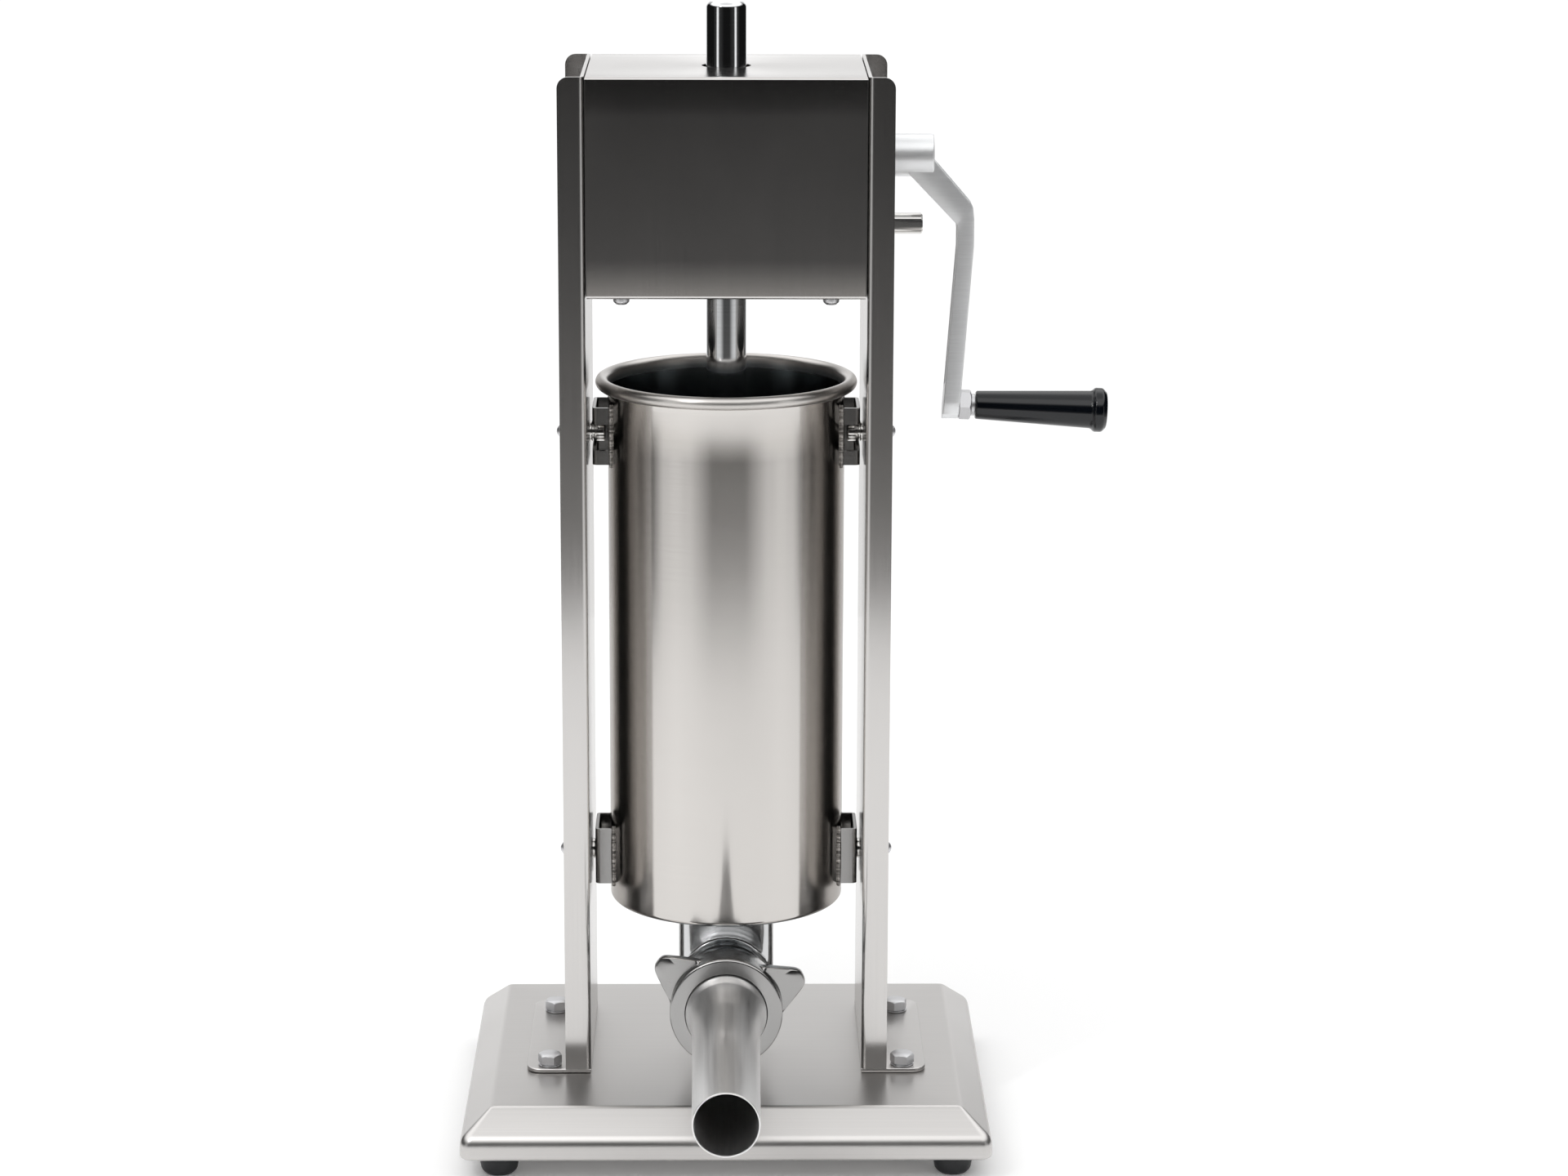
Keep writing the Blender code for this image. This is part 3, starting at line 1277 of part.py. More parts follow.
# ---------------------------------------------------------------- outlet, nut and tube
def make_outlet(machine):
    """A cast elbow under the barrel: a box with round edges and a threaded neck in front."""
    top = BARREL_BOTTOM - GAP
    low = OUTLET_AXIS_Z - OUTLET_WIDTH / 2
    outline = rounded_rectangle(
        OUTLET_WIDTH / 2, OUTLET_DEPTH / 2, OUTLET_CORNER, 3, (0, OUTLET_DROP_Y)
    )
    inset = 0.003
    foot = rounded_rectangle(
        OUTLET_WIDTH / 2 - inset,
        OUTLET_DEPTH / 2 - inset,
        OUTLET_CORNER - inset,
        3,
        (0, OUTLET_DROP_Y),
    )
    loops = [
        [(x, y, low) for x, y in foot],
        [(x, y, low + inset) for x, y in outline],
        [(x, y, top) for x, y in outline],
    ]
    outlet = solid("outlet", lofted(loops, True, True), cast_alloy(), machine)

    crest = NECK_RADIUS
    root = NECK_RADIUS - NECK_THREAD
    front = -NECK_FRONT
    start = -OUTLET_FRONT
    ridges = int((start - front - 0.008) / NECK_THREAD_PITCH)
    profile = [(0, start + 0.006), (root, start + 0.006), (root, start - 0.004)]
    for index in range(ridges):
        ridge = start - 0.006 - index * NECK_THREAD_PITCH
        profile += [(root, ridge + 0.0014), (crest, ridge + 0.0007)]
        profile += [(crest, ridge - 0.0007), (root, ridge - 0.0014)]
    profile += [(root, front), (0, front)]
    neck = turned(profile, "Y", 32, (0, OUTLET_AXIS_Z))
    join(outlet, "outlet_neck", neck)
    bore_back = OUTLET_DROP_Y + OUTLET_BORE * 0.4
    half_step = math.pi / 26
    bore = cylinder(
        OUTLET_BORE, "Y", front - 0.002, bore_back, (0, OUTLET_AXIS_Z), 26, half_step
    )
    cut(outlet, "outlet_bore", bore)
    drop = cylinder(
        OUTLET_DROP_RADIUS,
        "Z",
        OUTLET_AXIS_Z - OUTLET_BORE * 0.37,
        top + 0.002,
        (0, OUTLET_DROP_Y),
        28,
    )
    cut(outlet, "outlet_drop", drop)


def wing_outline(middle):
    """One wing of the nut, seen from the front, its sides curving in to a square tip."""
    root = NUT_RADIUS - 0.0020
    points = []
    for sign in (-1, 1):
        flank = []
        for step in range(5):
            t = step / 4
            radius = root + (WING_RADIUS - root) * t**1.15
            turn = WING_ROOT_HALF + (WING_TIP_HALF - WING_ROOT_HALF) * t**0.74
            angle = middle + sign * turn
            flank.append((radius * math.cos(angle), radius * math.sin(angle)))
        points += flank if sign < 0 else list(reversed(flank))
    return points


def make_ring_nut(machine):
    axis = empty("ring_nut_axis", (0, 0, OUTLET_AXIS_Z), machine)
    front = -NUT_FRONT
    back = front + NUT_LENGTH
    seat = front + NUT_FRONT_LIP
    bore = NECK_RADIUS + RUNNING_GAP + GAP
    edge = 0.0012
    profile = [
        (bore, back),
        (NUT_RADIUS - edge, back),
        (NUT_RADIUS, back - edge),
        (NUT_RADIUS, front + edge),
        (NUT_RADIUS - edge, front),
        (NUT_OPENING, front),
        (NUT_OPENING, seat),
        (bore, seat),
    ]
    nut = solid("ring_nut", turned(profile, "Y", 36), cast_alloy(), axis)
    low = front + WING_SETBACK
    high = low + WING_THICKNESS
    for index in range(WING_COUNT):
        middle = WING_FIRST + 2 * math.pi * index / WING_COUNT
        join(nut, f"wing_{index + 1}", prism(wing_outline(middle), "Y", low, high))
    clear = cylinder(bore, "Y", seat, back + 0.002, (0, 0), 36)
    cut(nut, "ring_nut_clear", clear)


def make_stuffing_tube(machine):
    """A long thin tube with a coned root and a flange that the nut holds on a gasket."""
    wall = TUBE_WALL
    seat = -NUT_SEAT
    flange_back = seat + TUBE_FLANGE
    nose = -NUT_FRONT - 0.001
    shoulder = TUBE_SHOULDER_RADIUS
    cone_end = -TUBE_CONE_END
    profile = [
        (TUBE_FLANGE_RADIUS, flange_back),
        (TUBE_FLANGE_RADIUS, seat),
        (shoulder, seat),
        (shoulder, nose),
        (shoulder - 0.0009, nose - 0.0030),
        (shoulder - 0.0019, nose - 0.0062),
        (TUBE_ROOT_RADIUS, cone_end),
        (TUBE_TIP_RADIUS, -TUBE_TIP),
        (TUBE_TIP_RADIUS - wall, -TUBE_TIP),
        (TUBE_ROOT_RADIUS - wall, cone_end),
        (shoulder - 0.0019 - wall, nose - 0.0062),
        (shoulder - 2 * wall, flange_back),
    ]
    bm = turned(profile, "Y", 28, (0, OUTLET_AXIS_Z))
    solid("stuffing_tube", bm, polished_steel(), machine)

    front = -GASKET_FRONT
    back = front + GASKET
    radius = TUBE_FLANGE_RADIUS
    profile = [(GASKET_BORE, back), (radius, back), (radius, front), (GASKET_BORE, front)]
    bm = turned(profile, "Y", 28, (0, OUTLET_AXIS_Z))
    solid("tube_gasket", bm, food_seal(), machine)


def main():
    clear_scene()
    machine = empty("machine", (-FOOTPRINT_X, -FOOTPRINT_Y, 0), None)
    make_base_pan(machine)
    make_feet(machine)
    for side_name, side in SIDES.items():
        make_column(machine, side_name, side)
    make_column_bolts(machine)
    make_barrel(machine)
    make_hanging(machine)
    make_gear_case(machine)
    make_cover(machine)
    make_case_bolts(machine)
    make_bushes(machine)
    make_rod_guides(machine)
    make_drive(machine)
    make_ram(machine)
    make_piston(machine)
    make_air_valve(machine)
    make_outlet(machine)
    make_ring_nut(machine)
    make_stuffing_tube(machine)


main()
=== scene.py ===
"""Looks for an upright hand-cranked sausage stuffer, built round its packed CAD frame."""

import math

import bpy
import numpy as np
from mathutils import Matrix, Vector


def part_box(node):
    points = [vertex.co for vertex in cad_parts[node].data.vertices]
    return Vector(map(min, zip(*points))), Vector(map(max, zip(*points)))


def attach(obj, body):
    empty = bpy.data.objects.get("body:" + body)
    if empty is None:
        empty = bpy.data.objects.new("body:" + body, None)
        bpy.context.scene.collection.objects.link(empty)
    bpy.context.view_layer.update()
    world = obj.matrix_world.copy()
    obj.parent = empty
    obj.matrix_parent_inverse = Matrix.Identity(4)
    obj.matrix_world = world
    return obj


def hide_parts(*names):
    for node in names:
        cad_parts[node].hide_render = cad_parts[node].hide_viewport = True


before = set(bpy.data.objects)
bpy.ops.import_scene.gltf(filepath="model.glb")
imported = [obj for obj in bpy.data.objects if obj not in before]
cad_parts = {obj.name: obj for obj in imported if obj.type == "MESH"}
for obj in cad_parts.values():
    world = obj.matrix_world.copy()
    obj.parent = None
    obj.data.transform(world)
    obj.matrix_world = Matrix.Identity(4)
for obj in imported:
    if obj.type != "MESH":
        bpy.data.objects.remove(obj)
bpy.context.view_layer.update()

bl_info = {
    "name": "Sausage stuffer",
    "version": (1, 0, 0),
    "blender": (4, 5, 0),
    "location": "View3D > Sidebar > Stuffer",
    "description": "Builds the sheet steel, castings, turned parts and stage of a sausage stuffer",
    "category": "Add Mesh",
}

FRAME_BODY = "frame_body"
SIDES = {"left": -1, "right": 1}
ENDS = {"front": -1, "rear": 1}
CAD = {name: np.array([list(c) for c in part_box(name)]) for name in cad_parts}


def low(node):
    """The low corner of a CAD node's box."""
    return CAD[node][0]


def high(node):
    """The high corner of a CAD node's box."""
    return CAD[node][1]


def middle(node):
    """The middle of a CAD node's box."""
    return CAD[node].mean(0)


AXIS = middle("barrel") * (1, 1, 0)
SHAFT = middle("rack_shaft")
OUTLET_AXIS_Z = middle("stuffing_tube")[2]

# Distances from the barrel's axis, and the crank's throw.
BARREL_RADIUS = 0.071
COLUMN_WEB = 0.0818
COLUMN_FLANGE = 0.0972
CRANK_THROW = 0.151


# ------------------------------------------------------------------ settings
def measure(label, text, default, least=0.0005, unit="LENGTH"):
    """A setting in metres, or in another unit."""
    return bpy.props.FloatProperty(
        name=label, description=text, default=default, min=least, unit=unit
    )


def in_degrees(label, text, degrees):
    """A setting held in radians, whose default is given in degrees."""
    return bpy.props.FloatProperty(
        name=label, description=text, default=math.radians(degrees), subtype="ANGLE"
    )


def share(label, text, default):
    """A setting from 0 to 1."""
    return bpy.props.FloatProperty(
        name=label, description=text, default=default, min=0, max=1, subtype="FACTOR"
    )


def tone(label, text, default):
    """A colour setting."""
    return bpy.props.FloatVectorProperty(
        name=label, description=text, default=default, size=3, min=0, max=1, subtype="COLOR"
    )


class StufferSheetSettings(bpy.types.PropertyGroup):
    """Sizes and colours of the folded sheet steel."""

    thickness: measure("Sheet thickness", "Thickness of the columns' sheet", 0.002)
    bend: measure("Bend radius", "Outside radius of the columns' folds", 0.0032, 0.0)
    cover_thickness: measure("Cover thickness", "Thickness of the gear case's cover", 0.0012)
    pan_bend: measure("Pan bend radius", "Radius of the folds round the base pan", 0.006, 0.0)
    colour: tone("Steel colour", "Base colour of the brushed sheet", (0.620, 0.605, 0.592))
    roughness: share("Brushing roughness", "How far the brushing blurs reflections", 0.19)


class StufferBarrelSettings(bpy.types.PropertyGroup):
    """Sizes and colours of the barrel, and the ring nut's wings."""

    wall: measure("Barrel wall", "Thickness of the barrel's wall", 0.001)
    bead: measure("Rim bead radius", "Radius of the rolled rim", 0.0038, 0.001)
    colour: tone("Barrel colour", "Base colour of the barrel's steel", (0.635, 0.612, 0.588))
    roughness: share("Barrel roughness", "Roughness of the barrel's satin outside", 0.15)
    wings: bpy.props.IntProperty(
        name="Nut wings", description="Number of wings on the ring nut", default=3, min=2, max=6
    )


class StufferCrankSettings(bpy.types.PropertyGroup):
    """Sizes and colours of the crank and its grip."""

    arm_thickness: measure("Arm thickness", "Thickness of the arm, from the front", 0.010, 0.004)
    arm_width: measure("Arm width", "Width of the arm, front to back", 0.018, 0.008)
    grip_tilt: in_degrees("Grip tilt", "How far the grip droops outward", 2.35)
    grip_colour: tone("Grip colour", "Colour of the moulded grip", (0.003, 0.004, 0.006))
    alloy_colour: tone("Casting colour", "Colour of the crank's casting", (0.91, 0.92, 0.93))


class StufferStageSettings(bpy.types.PropertyGroup):
    """Camera and floor."""

    lens: measure("Lens", "Focal length on a 36 mm wide sensor", 93.54, 10, "CAMERA")
    distance: measure("Camera distance", "Distance in front of the barrel's axis", 2.4, 0.5)
    height: measure("Camera height", "Height above the table", 0.9011, 0.0)
    pitch: in_degrees("Camera pitch", "How far the camera looks down", 13.4)
    yaw: in_degrees("Camera yaw", "How far the camera looks to the right of the barrel", 0.835)
    roll: in_degrees("Camera roll", "Turn of the camera about its own axis", 0.2)
    floor_radius: measure("Floor radius", "Radius of the round pale floor", 1.35, 0.5)


def settings(group):
    """One of the property groups, as the scene holds it."""
    return getattr(bpy.context.scene, group)


# ------------------------------------------------------------------ curves and surfaces
def arc(centre, radius, start, end, steps):
    """centre + radius * (cos a, sin a) for a from start to end, in degrees."""
    a = np.radians(np.linspace(start, end, steps + 1))
    return np.asarray(centre) + radius * np.stack([np.cos(a), np.sin(a)], 1)


def circle(sides, phase=0.0):
    """Unit vectors (cos a, sin a) at equal angles from phase."""
    a = phase + np.arange(sides) * 2 * math.pi / sides
    return np.stack([np.cos(a), np.sin(a)], 1)


def filleted(points, radius, steps=6, closed=True):
    """A 2-D polyline with each corner replaced by an arc that is tangent to both its sides.

    At a corner of turning angle t the arc starts radius * tan(t / 2) before the corner, and its
    points are p = centre + radius * (cos, sin) swept through t. radius is one value or one each.
    """
    points = np.asarray(points, float)
    count = len(points)
    radii = np.broadcast_to(radius, count)
    out = []
    for i, corner in enumerate(points):
        if not closed and i in (0, count - 1) or radii[i] <= 0:
            out.append(corner[None])
            continue
        before = points[i - 1] - corner
        after = points[(i + 1) % count] - corner
        reach_before, reach_after = np.linalg.norm(before), np.linalg.norm(after)
        before, after = before / reach_before, after / reach_after
        half = math.acos(np.clip(before @ after, -1, 1)) / 2
        if half > math.pi / 2 - 0.01:
            out.append(corner[None])
            continue
        back = min(radii[i] / math.tan(half), 0.48 * reach_before, 0.48 * reach_after)
        r = back * math.tan(half)
        mid = before + after
        centre = corner + mid / np.linalg.norm(mid) * (r / math.sin(half))
        first, last = corner + before * back - centre, corner + after * back - centre
        a0 = math.atan2(first[1], first[0])
        turn = math.atan2(last[1], last[0]) - a0
        turn = (turn + math.pi) % (2 * math.pi) - math.pi
        a = a0 + turn * np.linspace(0, 1, steps + 1)
        out.append(centre + r * np.stack([np.cos(a), np.sin(a)], 1))
    return np.concatenate(out)


def axis_points(axis, across, height):
    """(u, v) across an axis and a height along it, as 3-D points."""
    u, v = across[..., 0], across[..., 1]
    w = np.broadcast_to(height, u.shape)
    order = {"X": (w, u, v), "Y": (u, w, v), "Z": (u, v, w)}[axis]
    return np.stack(order, -1)


def grid_faces(rows, columns, wrap_rows=False, wrap_columns=True):
    """Quads over a grid of rows x columns points, as indices."""
    r = np.arange(rows if wrap_rows else rows - 1)
    c = np.arange(columns if wrap_columns else columns - 1)
    r, c = (g.ravel() for g in np.meshgrid(r, c, indexing="ij"))
    r1, c1 = (r + 1) % rows, (c + 1) % columns
    return np.stack([r * columns + c, r * columns + c1, r1 * columns + c1, r1 * columns + c], 1)


def shell(rings, wrap=False):
    """A closed surface through equal rings of points; unless it wraps, both ends get a flat cap
    of triangles round the ring's middle. Returns (points, list of faces), facing outward."""
    rings = np.asarray(rings, float)
    rows, columns = rings.shape[:2]
    points = rings.reshape(-1, 3)
    faces = grid_faces(rows, columns, wrap_rows=wrap).tolist()
    if not wrap:
        i = np.arange(columns)
        j = (i + 1) % columns
        last = (rows - 1) * columns
        points = np.concatenate([points, rings[:1].mean(1), rings[-1:].mean(1)])
        start = np.stack([j, i, np.full(columns, rows * columns)], 1)
        end = np.stack([last + i, last + j, np.full(columns, rows * columns + 1)], 1)
        faces += start.tolist() + end.tolist()
    return outward(points, faces)


def outward(points, faces):
    """Turns every face round if the enclosed volume, sum of a . (b x c) / 6, is negative."""
    first = np.array([f[:3] for f in faces])
    a, b, c = (points[first[:, k]] for k in range(3))
    volume = np.einsum("ij,ij->", a, np.cross(b, c))
    quads = np.array([f for f in faces if len(f) == 4])
    if len(quads):
        a, b, c = (points[quads[:, k]] for k in (0, 2, 3))
        volume += np.einsum("ij,ij->", a, np.cross(b, c))
    return points, faces if volume > 0 else [f[::-1] for f in faces]


def joined(*shells):
    """Several closed shells as one (points, faces)."""
    points, faces, start = [], [], 0
    for p, f in shells:
        points.append(p)
        faces += [[i + start for i in face] for face in f]
        start += len(p)
    return np.concatenate(points), faces


def turned(profile, axis="Z", centre=(0, 0), sides=64, phase=0.0):
    """Revolves (radius, height) points: p = centre + radius * (cos a, sin a), at that height.

    A profile whose ends lie on the axis is capped there, and any other wraps into a ring."""
    profile = np.asarray(profile, float)
    solid = profile[0, 0] == 0 and profile[-1, 0] == 0
    if solid:
        profile = profile[1:-1]
    across = np.asarray(centre) + profile[:, None, :1] * circle(sides, phase)[None]
    return shell(axis_points(axis, across, profile[:, 1:2]), wrap=not solid)


def cylinder(radius, start, end, axis, centre, sides):
    """A plain cylinder between two heights along an axis."""
    return turned([(0, start), (radius, start), (radius, end), (0, end)], axis, centre, sides)


def prism(outline, axis, start, end, bevel=0.0, steps=3):
    """An outline carried along an axis, its two edges rounded by insetting it along its normals.

    The inset at angle a round the edge is bevel * (1 - sin a), at height bevel * (1 - cos a)."""
    outline = np.asarray(outline, float)
    ahead = np.roll(outline, -1, 0) - outline
    ahead /= np.linalg.norm(ahead, axis=1, keepdims=True) + 1e-12
    behind = np.roll(ahead, 1, 0)
    along = ahead + behind
    along /= np.linalg.norm(along, axis=1, keepdims=True) + 1e-12
    normal = np.stack([along[:, 1], -along[:, 0]], 1)
    area = np.sum(outline[:, 0] * np.roll(outline[:, 1], -1))
    area -= np.sum(outline[:, 1] * np.roll(outline[:, 0], -1))
    normal *= np.sign(area)
    cosine = np.clip(np.sum(normal * np.stack([ahead[:, 1], -ahead[:, 0]], 1), 1), 0.4, 1)
    normal /= np.abs(cosine)[:, None] + 1e-9
    a = np.linspace(0, math.pi / 2, steps + 1) if bevel else np.array([math.pi / 2])
    inset, rise = bevel * (1 - np.sin(a)), bevel * (1 - np.cos(a))
    insets = np.concatenate([inset, inset[::-1]])
    heights = np.concatenate([start + rise, (end - rise)[::-1]])
    across = outline[None] - insets[:, None, None] * normal[None]
    return shell(axis_points(axis, across, heights[:, None]))


def hex_head(across_flats, axis, centre, start, end, chamfer=0.0008, phase=0.0, sides=96, bore=0):
    """A hexagon with turned corners: radius = min(flat / cos(a folded into 60 degrees), cone).

    The cone falls by 1.7 times the distance past chamfer from the end face."""
    a = phase + np.arange(sides) * 2 * math.pi / sides
    folded = (a - phase + math.pi / 6) % (math.pi / 3) - math.pi / 6
    hexagon = across_flats / 2 / np.cos(folded)
    corner = across_flats / math.sqrt(3)
    sign = 1 if end > start else -1
    length = abs(end - start)
    t = np.array([0, 0.25, 0.5, 0.75, 1.0])
    depth = np.concatenate([length * np.array([0.0, 0.5]), length - chamfer * (1 - t)])
    cone = np.concatenate([[corner, corner], corner - 1.7 * chamfer * t])
    radius = np.minimum(hexagon[None], cone[:, None])
    height = start + sign * depth
    if bore:
        radius = np.concatenate([radius, np.full((2, sides), bore)])
        height = np.concatenate([height, [end, start]])
    across = np.asarray(centre) + radius[..., None] * circle(sides, phase)[None]
    return shell(axis_points(axis, across, height[:, None]), wrap=bool(bore))


def folded_sheet(path, thickness, axis, start, end):
    """A sheet folded along a 2-D path and carried along an axis.

    Its two faces lie on the path and at thickness along the path's left normal. start and end
    are heights, one value or one for each point of the path."""
    path = np.asarray(path, float)
    along = np.gradient(path, axis=0)
    along /= np.linalg.norm(along, axis=1, keepdims=True)
    left = np.stack([-along[:, 1], along[:, 0]], 1)
    loop = np.concatenate([path, (path + thickness * left)[::-1]])
    start = np.broadcast_to(start, len(path))
    end = np.broadcast_to(end, len(path))
    lows, highs = np.concatenate([start, start[::-1]]), np.concatenate([end, end[::-1]])
    t = np.linspace(0, 1, 7)[:, None]
    heights = lows[None] + (highs - lows)[None] * t
    rings = axis_points(axis, np.broadcast_to(loop, (7, *loop.shape)), heights)
    count = len(path)
    points = rings.reshape(-1, 3)
    faces = grid_faces(7, 2 * count).tolist()
    i = np.arange(count - 1)
    j = 2 * count - 1 - i
    base = np.stack([i + 1, i, j, j - 1], 1)
    top = 12 * count + np.stack([i, i + 1, j - 1, j], 1)
    return outward(points, faces + base.tolist() + top.tolist())


def named(prefix):
    """The CAD nodes whose names start with prefix, in the frame's order."""
    return [name for name in CAD if name.startswith(prefix)]


def divided(first, second, step):
    """Two matching polylines with points added so that no step of the first is over step."""
    a, b = [first[:1]], [second[:1]]
    for i in range(len(first) - 1):
        count = max(1, math.ceil(np.linalg.norm(first[i + 1] - first[i]) / step))
        t = np.linspace(0, 1, count + 1)[1:, None]
        a.append(first[i] + (first[i + 1] - first[i]) * t)
        b.append(second[i] + (second[i + 1] - second[i]) * t)
    return np.concatenate(a), np.concatenate(b)


def tube_along(path, radii, sides=16):
    """A round tube of varying radius along a 3-D path, with flat ends."""
    path = np.asarray(path, float)
    ahead = np.gradient(path, axis=0)
    ahead /= np.linalg.norm(ahead, axis=1, keepdims=True)
    side = np.cross(ahead, (0.31, 0.22, 0.92))
    side /= np.linalg.norm(side, axis=1, keepdims=True)
    other = np.cross(ahead, side)
    a = np.arange(sides) * 2 * math.pi / sides
    rings = path[:, None] + np.asarray(radii)[:, None, None] * (
        side[:, None] * np.cos(a)[None, :, None] + other[:, None] * np.sin(a)[None, :, None]
    )
    return shell(rings)


def tilted(surface, origin, angle):
    """Turns about the Y axis through origin: x' = x cos + z sin, z' = z cos - x sin."""
    p = surface[0].copy()
    x, z = p[:, 0].copy(), p[:, 2].copy()
    p[:, 0] = x * math.cos(angle) + z * math.sin(angle)
    p[:, 2] = z * math.cos(angle) - x * math.sin(angle)
    return p + np.asarray(origin), surface[1]


def placed(name, data):
    """Puts data in the scene as an object of that name."""
    made = bpy.data.objects.new(name, data)
    bpy.context.scene.collection.objects.link(made)
    return made


def raw_piece(name, surface):
    """A surface as an object that has no finish or body yet."""
    mesh = bpy.data.meshes.new(name)
    mesh.from_pydata(surface[0].tolist(), [], surface[1])
    return placed(name, mesh)


def make_piece(name, surface, finish, body, replaces=(), sharp=32):
    """Puts a surface in the scene as one named piece that rides on a body."""
    piece = raw_piece(name, surface)
    piece.data.validate()
    finish_piece(piece, finish, body, replaces, sharp)
    return piece


def finish_piece(piece, finish, body, replaces=(), sharp=32):
    """Shades a piece, gives it its finish, and says what it rides on, replaces and is made of."""
    smooth(piece, sharp)
    piece.data.materials.clear()
    piece.data.materials.append(look(finish))
    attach(piece, body)
    if replaces:
        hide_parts(*replaces)


def smooth(piece, sharp):
    """Smooth shading, with an edge kept where faces meet at more than sharp degrees."""
    piece.data.shade_smooth()
    piece.data.set_sharp_from_angle(angle=math.radians(sharp))


def apply_modifiers(piece):
    """Swaps the piece's mesh for the one its modifiers give, and drops the modifiers."""
    graph = bpy.context.evaluated_depsgraph_get()
    made = bpy.data.meshes.new_from_object(piece.evaluated_get(graph))
    old = piece.data
    piece.modifiers.clear()
    piece.data = made
    bpy.data.meshes.remove(old)


def combine(piece, surfaces, operation="DIFFERENCE"):
    """Cuts surfaces out of a piece, or joins them to it, and applies the result."""
    helpers = []
    for index, surface in enumerate(surfaces):
        helper = raw_piece(f"helper_{index}", surface)
        modifier = piece.modifiers.new(helper.name, "BOOLEAN")
        modifier.operation = operation
        modifier.solver = "EXACT"
        modifier.object = helper
        helpers.append(helper)
    bpy.context.view_layer.update()
    apply_modifiers(piece)
    for helper in helpers:
        mesh = helper.data
        bpy.data.objects.remove(helper)
        bpy.data.meshes.remove(mesh)


# ------------------------------------------------------------------ shader groups
def node(tree, kind, **values):
    """A shader node with its attributes and unlinked sockets set."""
    made = tree.nodes.new(kind)
    for key, value in values.items():
        if key in made.inputs.keys():
            made.inputs[key].default_value = value
        else:
            setattr(made, key, value)
    return made


def wire(tree, *links):
    """Makes each link, given as (from node, output, to node, input)."""
    for start, output, end, entry in links:
        tree.links.new(start.outputs[output], end.inputs[entry])


def maths(tree, operation, value=0.5):
    """A maths node whose second input holds value."""
    made = node(tree, "ShaderNodeMath", operation=operation)
    made.inputs[1].default_value = value
    return made


def ranged(tree, start, end, low_value=0.0, high_value=1.0):
    """A node that maps start and end to low_value and high_value, and clamps beyond them."""
    made = node(tree, "ShaderNodeMapRange")
    names = ("From Min", "From Max", "To Min", "To Max")
    for name, value in zip(names, (start, end, low_value, high_value)):
        made.inputs[name].default_value = value
    return made


def blend(tree, first, second, weight, mode="MIX"):
    """The output of a colour mix whose colours and weight are each a socket or a constant."""
    mix = node(tree, "ShaderNodeMix", data_type="RGBA", blend_type=mode)
    for index, value in ((0, weight), (6, first), (7, second)):
        if isinstance(value, bpy.types.NodeSocket):
            tree.links.new(value, mix.inputs[index])
        else:
            mix.inputs[index].default_value = value
    return mix.outputs[2]


def noise_group(name, output, **values):
    """A shared noise: a vector goes in and one mask from 0 to 1 comes out."""
    found = bpy.data.node_groups.get(name)
    if found:
        return found
    tree = bpy.data.node_groups.new(name, "ShaderNodeTree")
    tree.interface.new_socket("Vector", in_out="INPUT", socket_type="NodeSocketVector")
    tree.interface.new_socket(output, in_out="OUTPUT", socket_type="NodeSocketFloat")
    start, end = tree.nodes.new("NodeGroupInput"), tree.nodes.new("NodeGroupOutput")
    noise = node(tree, "ShaderNodeTexNoise", **values)
    wire(tree, (start, "Vector", noise, "Vector"), (noise, "Fac", end, output))
    return tree


def brushing_group():
    """Brushed lines: fine noise on coordinates that are already stretched."""
    return noise_group("brushing", "Lines", Scale=1.0, Detail=6.0, Roughness=0.72)


def handling_group():
    """Cloudy wipe marks."""
    return noise_group("handling", "Clouds", Scale=14.0, Detail=5.0, Distortion=0.6)


def new_material(name, colour, metallic, roughness):
    """A Principled material; returns it, its tree and its shader."""
    material = bpy.data.materials.new(name)
    material.use_nodes = True
    tree = material.node_tree
    shader = tree.nodes["Principled BSDF"]
    shader.inputs["Base Color"].default_value = (*colour, 1)
    shader.inputs["Metallic"].default_value = metallic
    shader.inputs["Roughness"].default_value = roughness
    material.diffuse_color = (*colour, 1)
    return material, tree, shader


def vary(tree, source, low_value, high_value, socket):
    """Feeds a mask, mapped to run from low_value to high_value, into a socket."""
    spread = ranged(tree, 0.28, 0.72, low_value, high_value)
    tree.links.new(source, spread.inputs["Value"])
    tree.links.new(spread.outputs["Result"], socket)


def tint(tree, source, colour, dark, light, socket):
    """Feeds a colour, from dark to light times its own value by a mask, into a socket."""
    colour = np.array(colour)
    spread = ranged(tree, 0.3, 0.7)
    tree.links.new(source, spread.inputs["Value"])
    ends = ((*np.minimum(colour * times, 1), 1) for times in (dark, light))
    tree.links.new(blend(tree, *ends, spread.outputs["Result"]), socket)


def emboss(tree, source, strength, distance, shader):
    """Feeds a height into the shader's normal as relief of that depth."""
    bump = node(tree, "ShaderNodeBump", Strength=strength, Distance=distance)
    tree.links.new(source, bump.inputs["Height"])
    wire(tree, (bump, "Normal", shader, "Normal"))


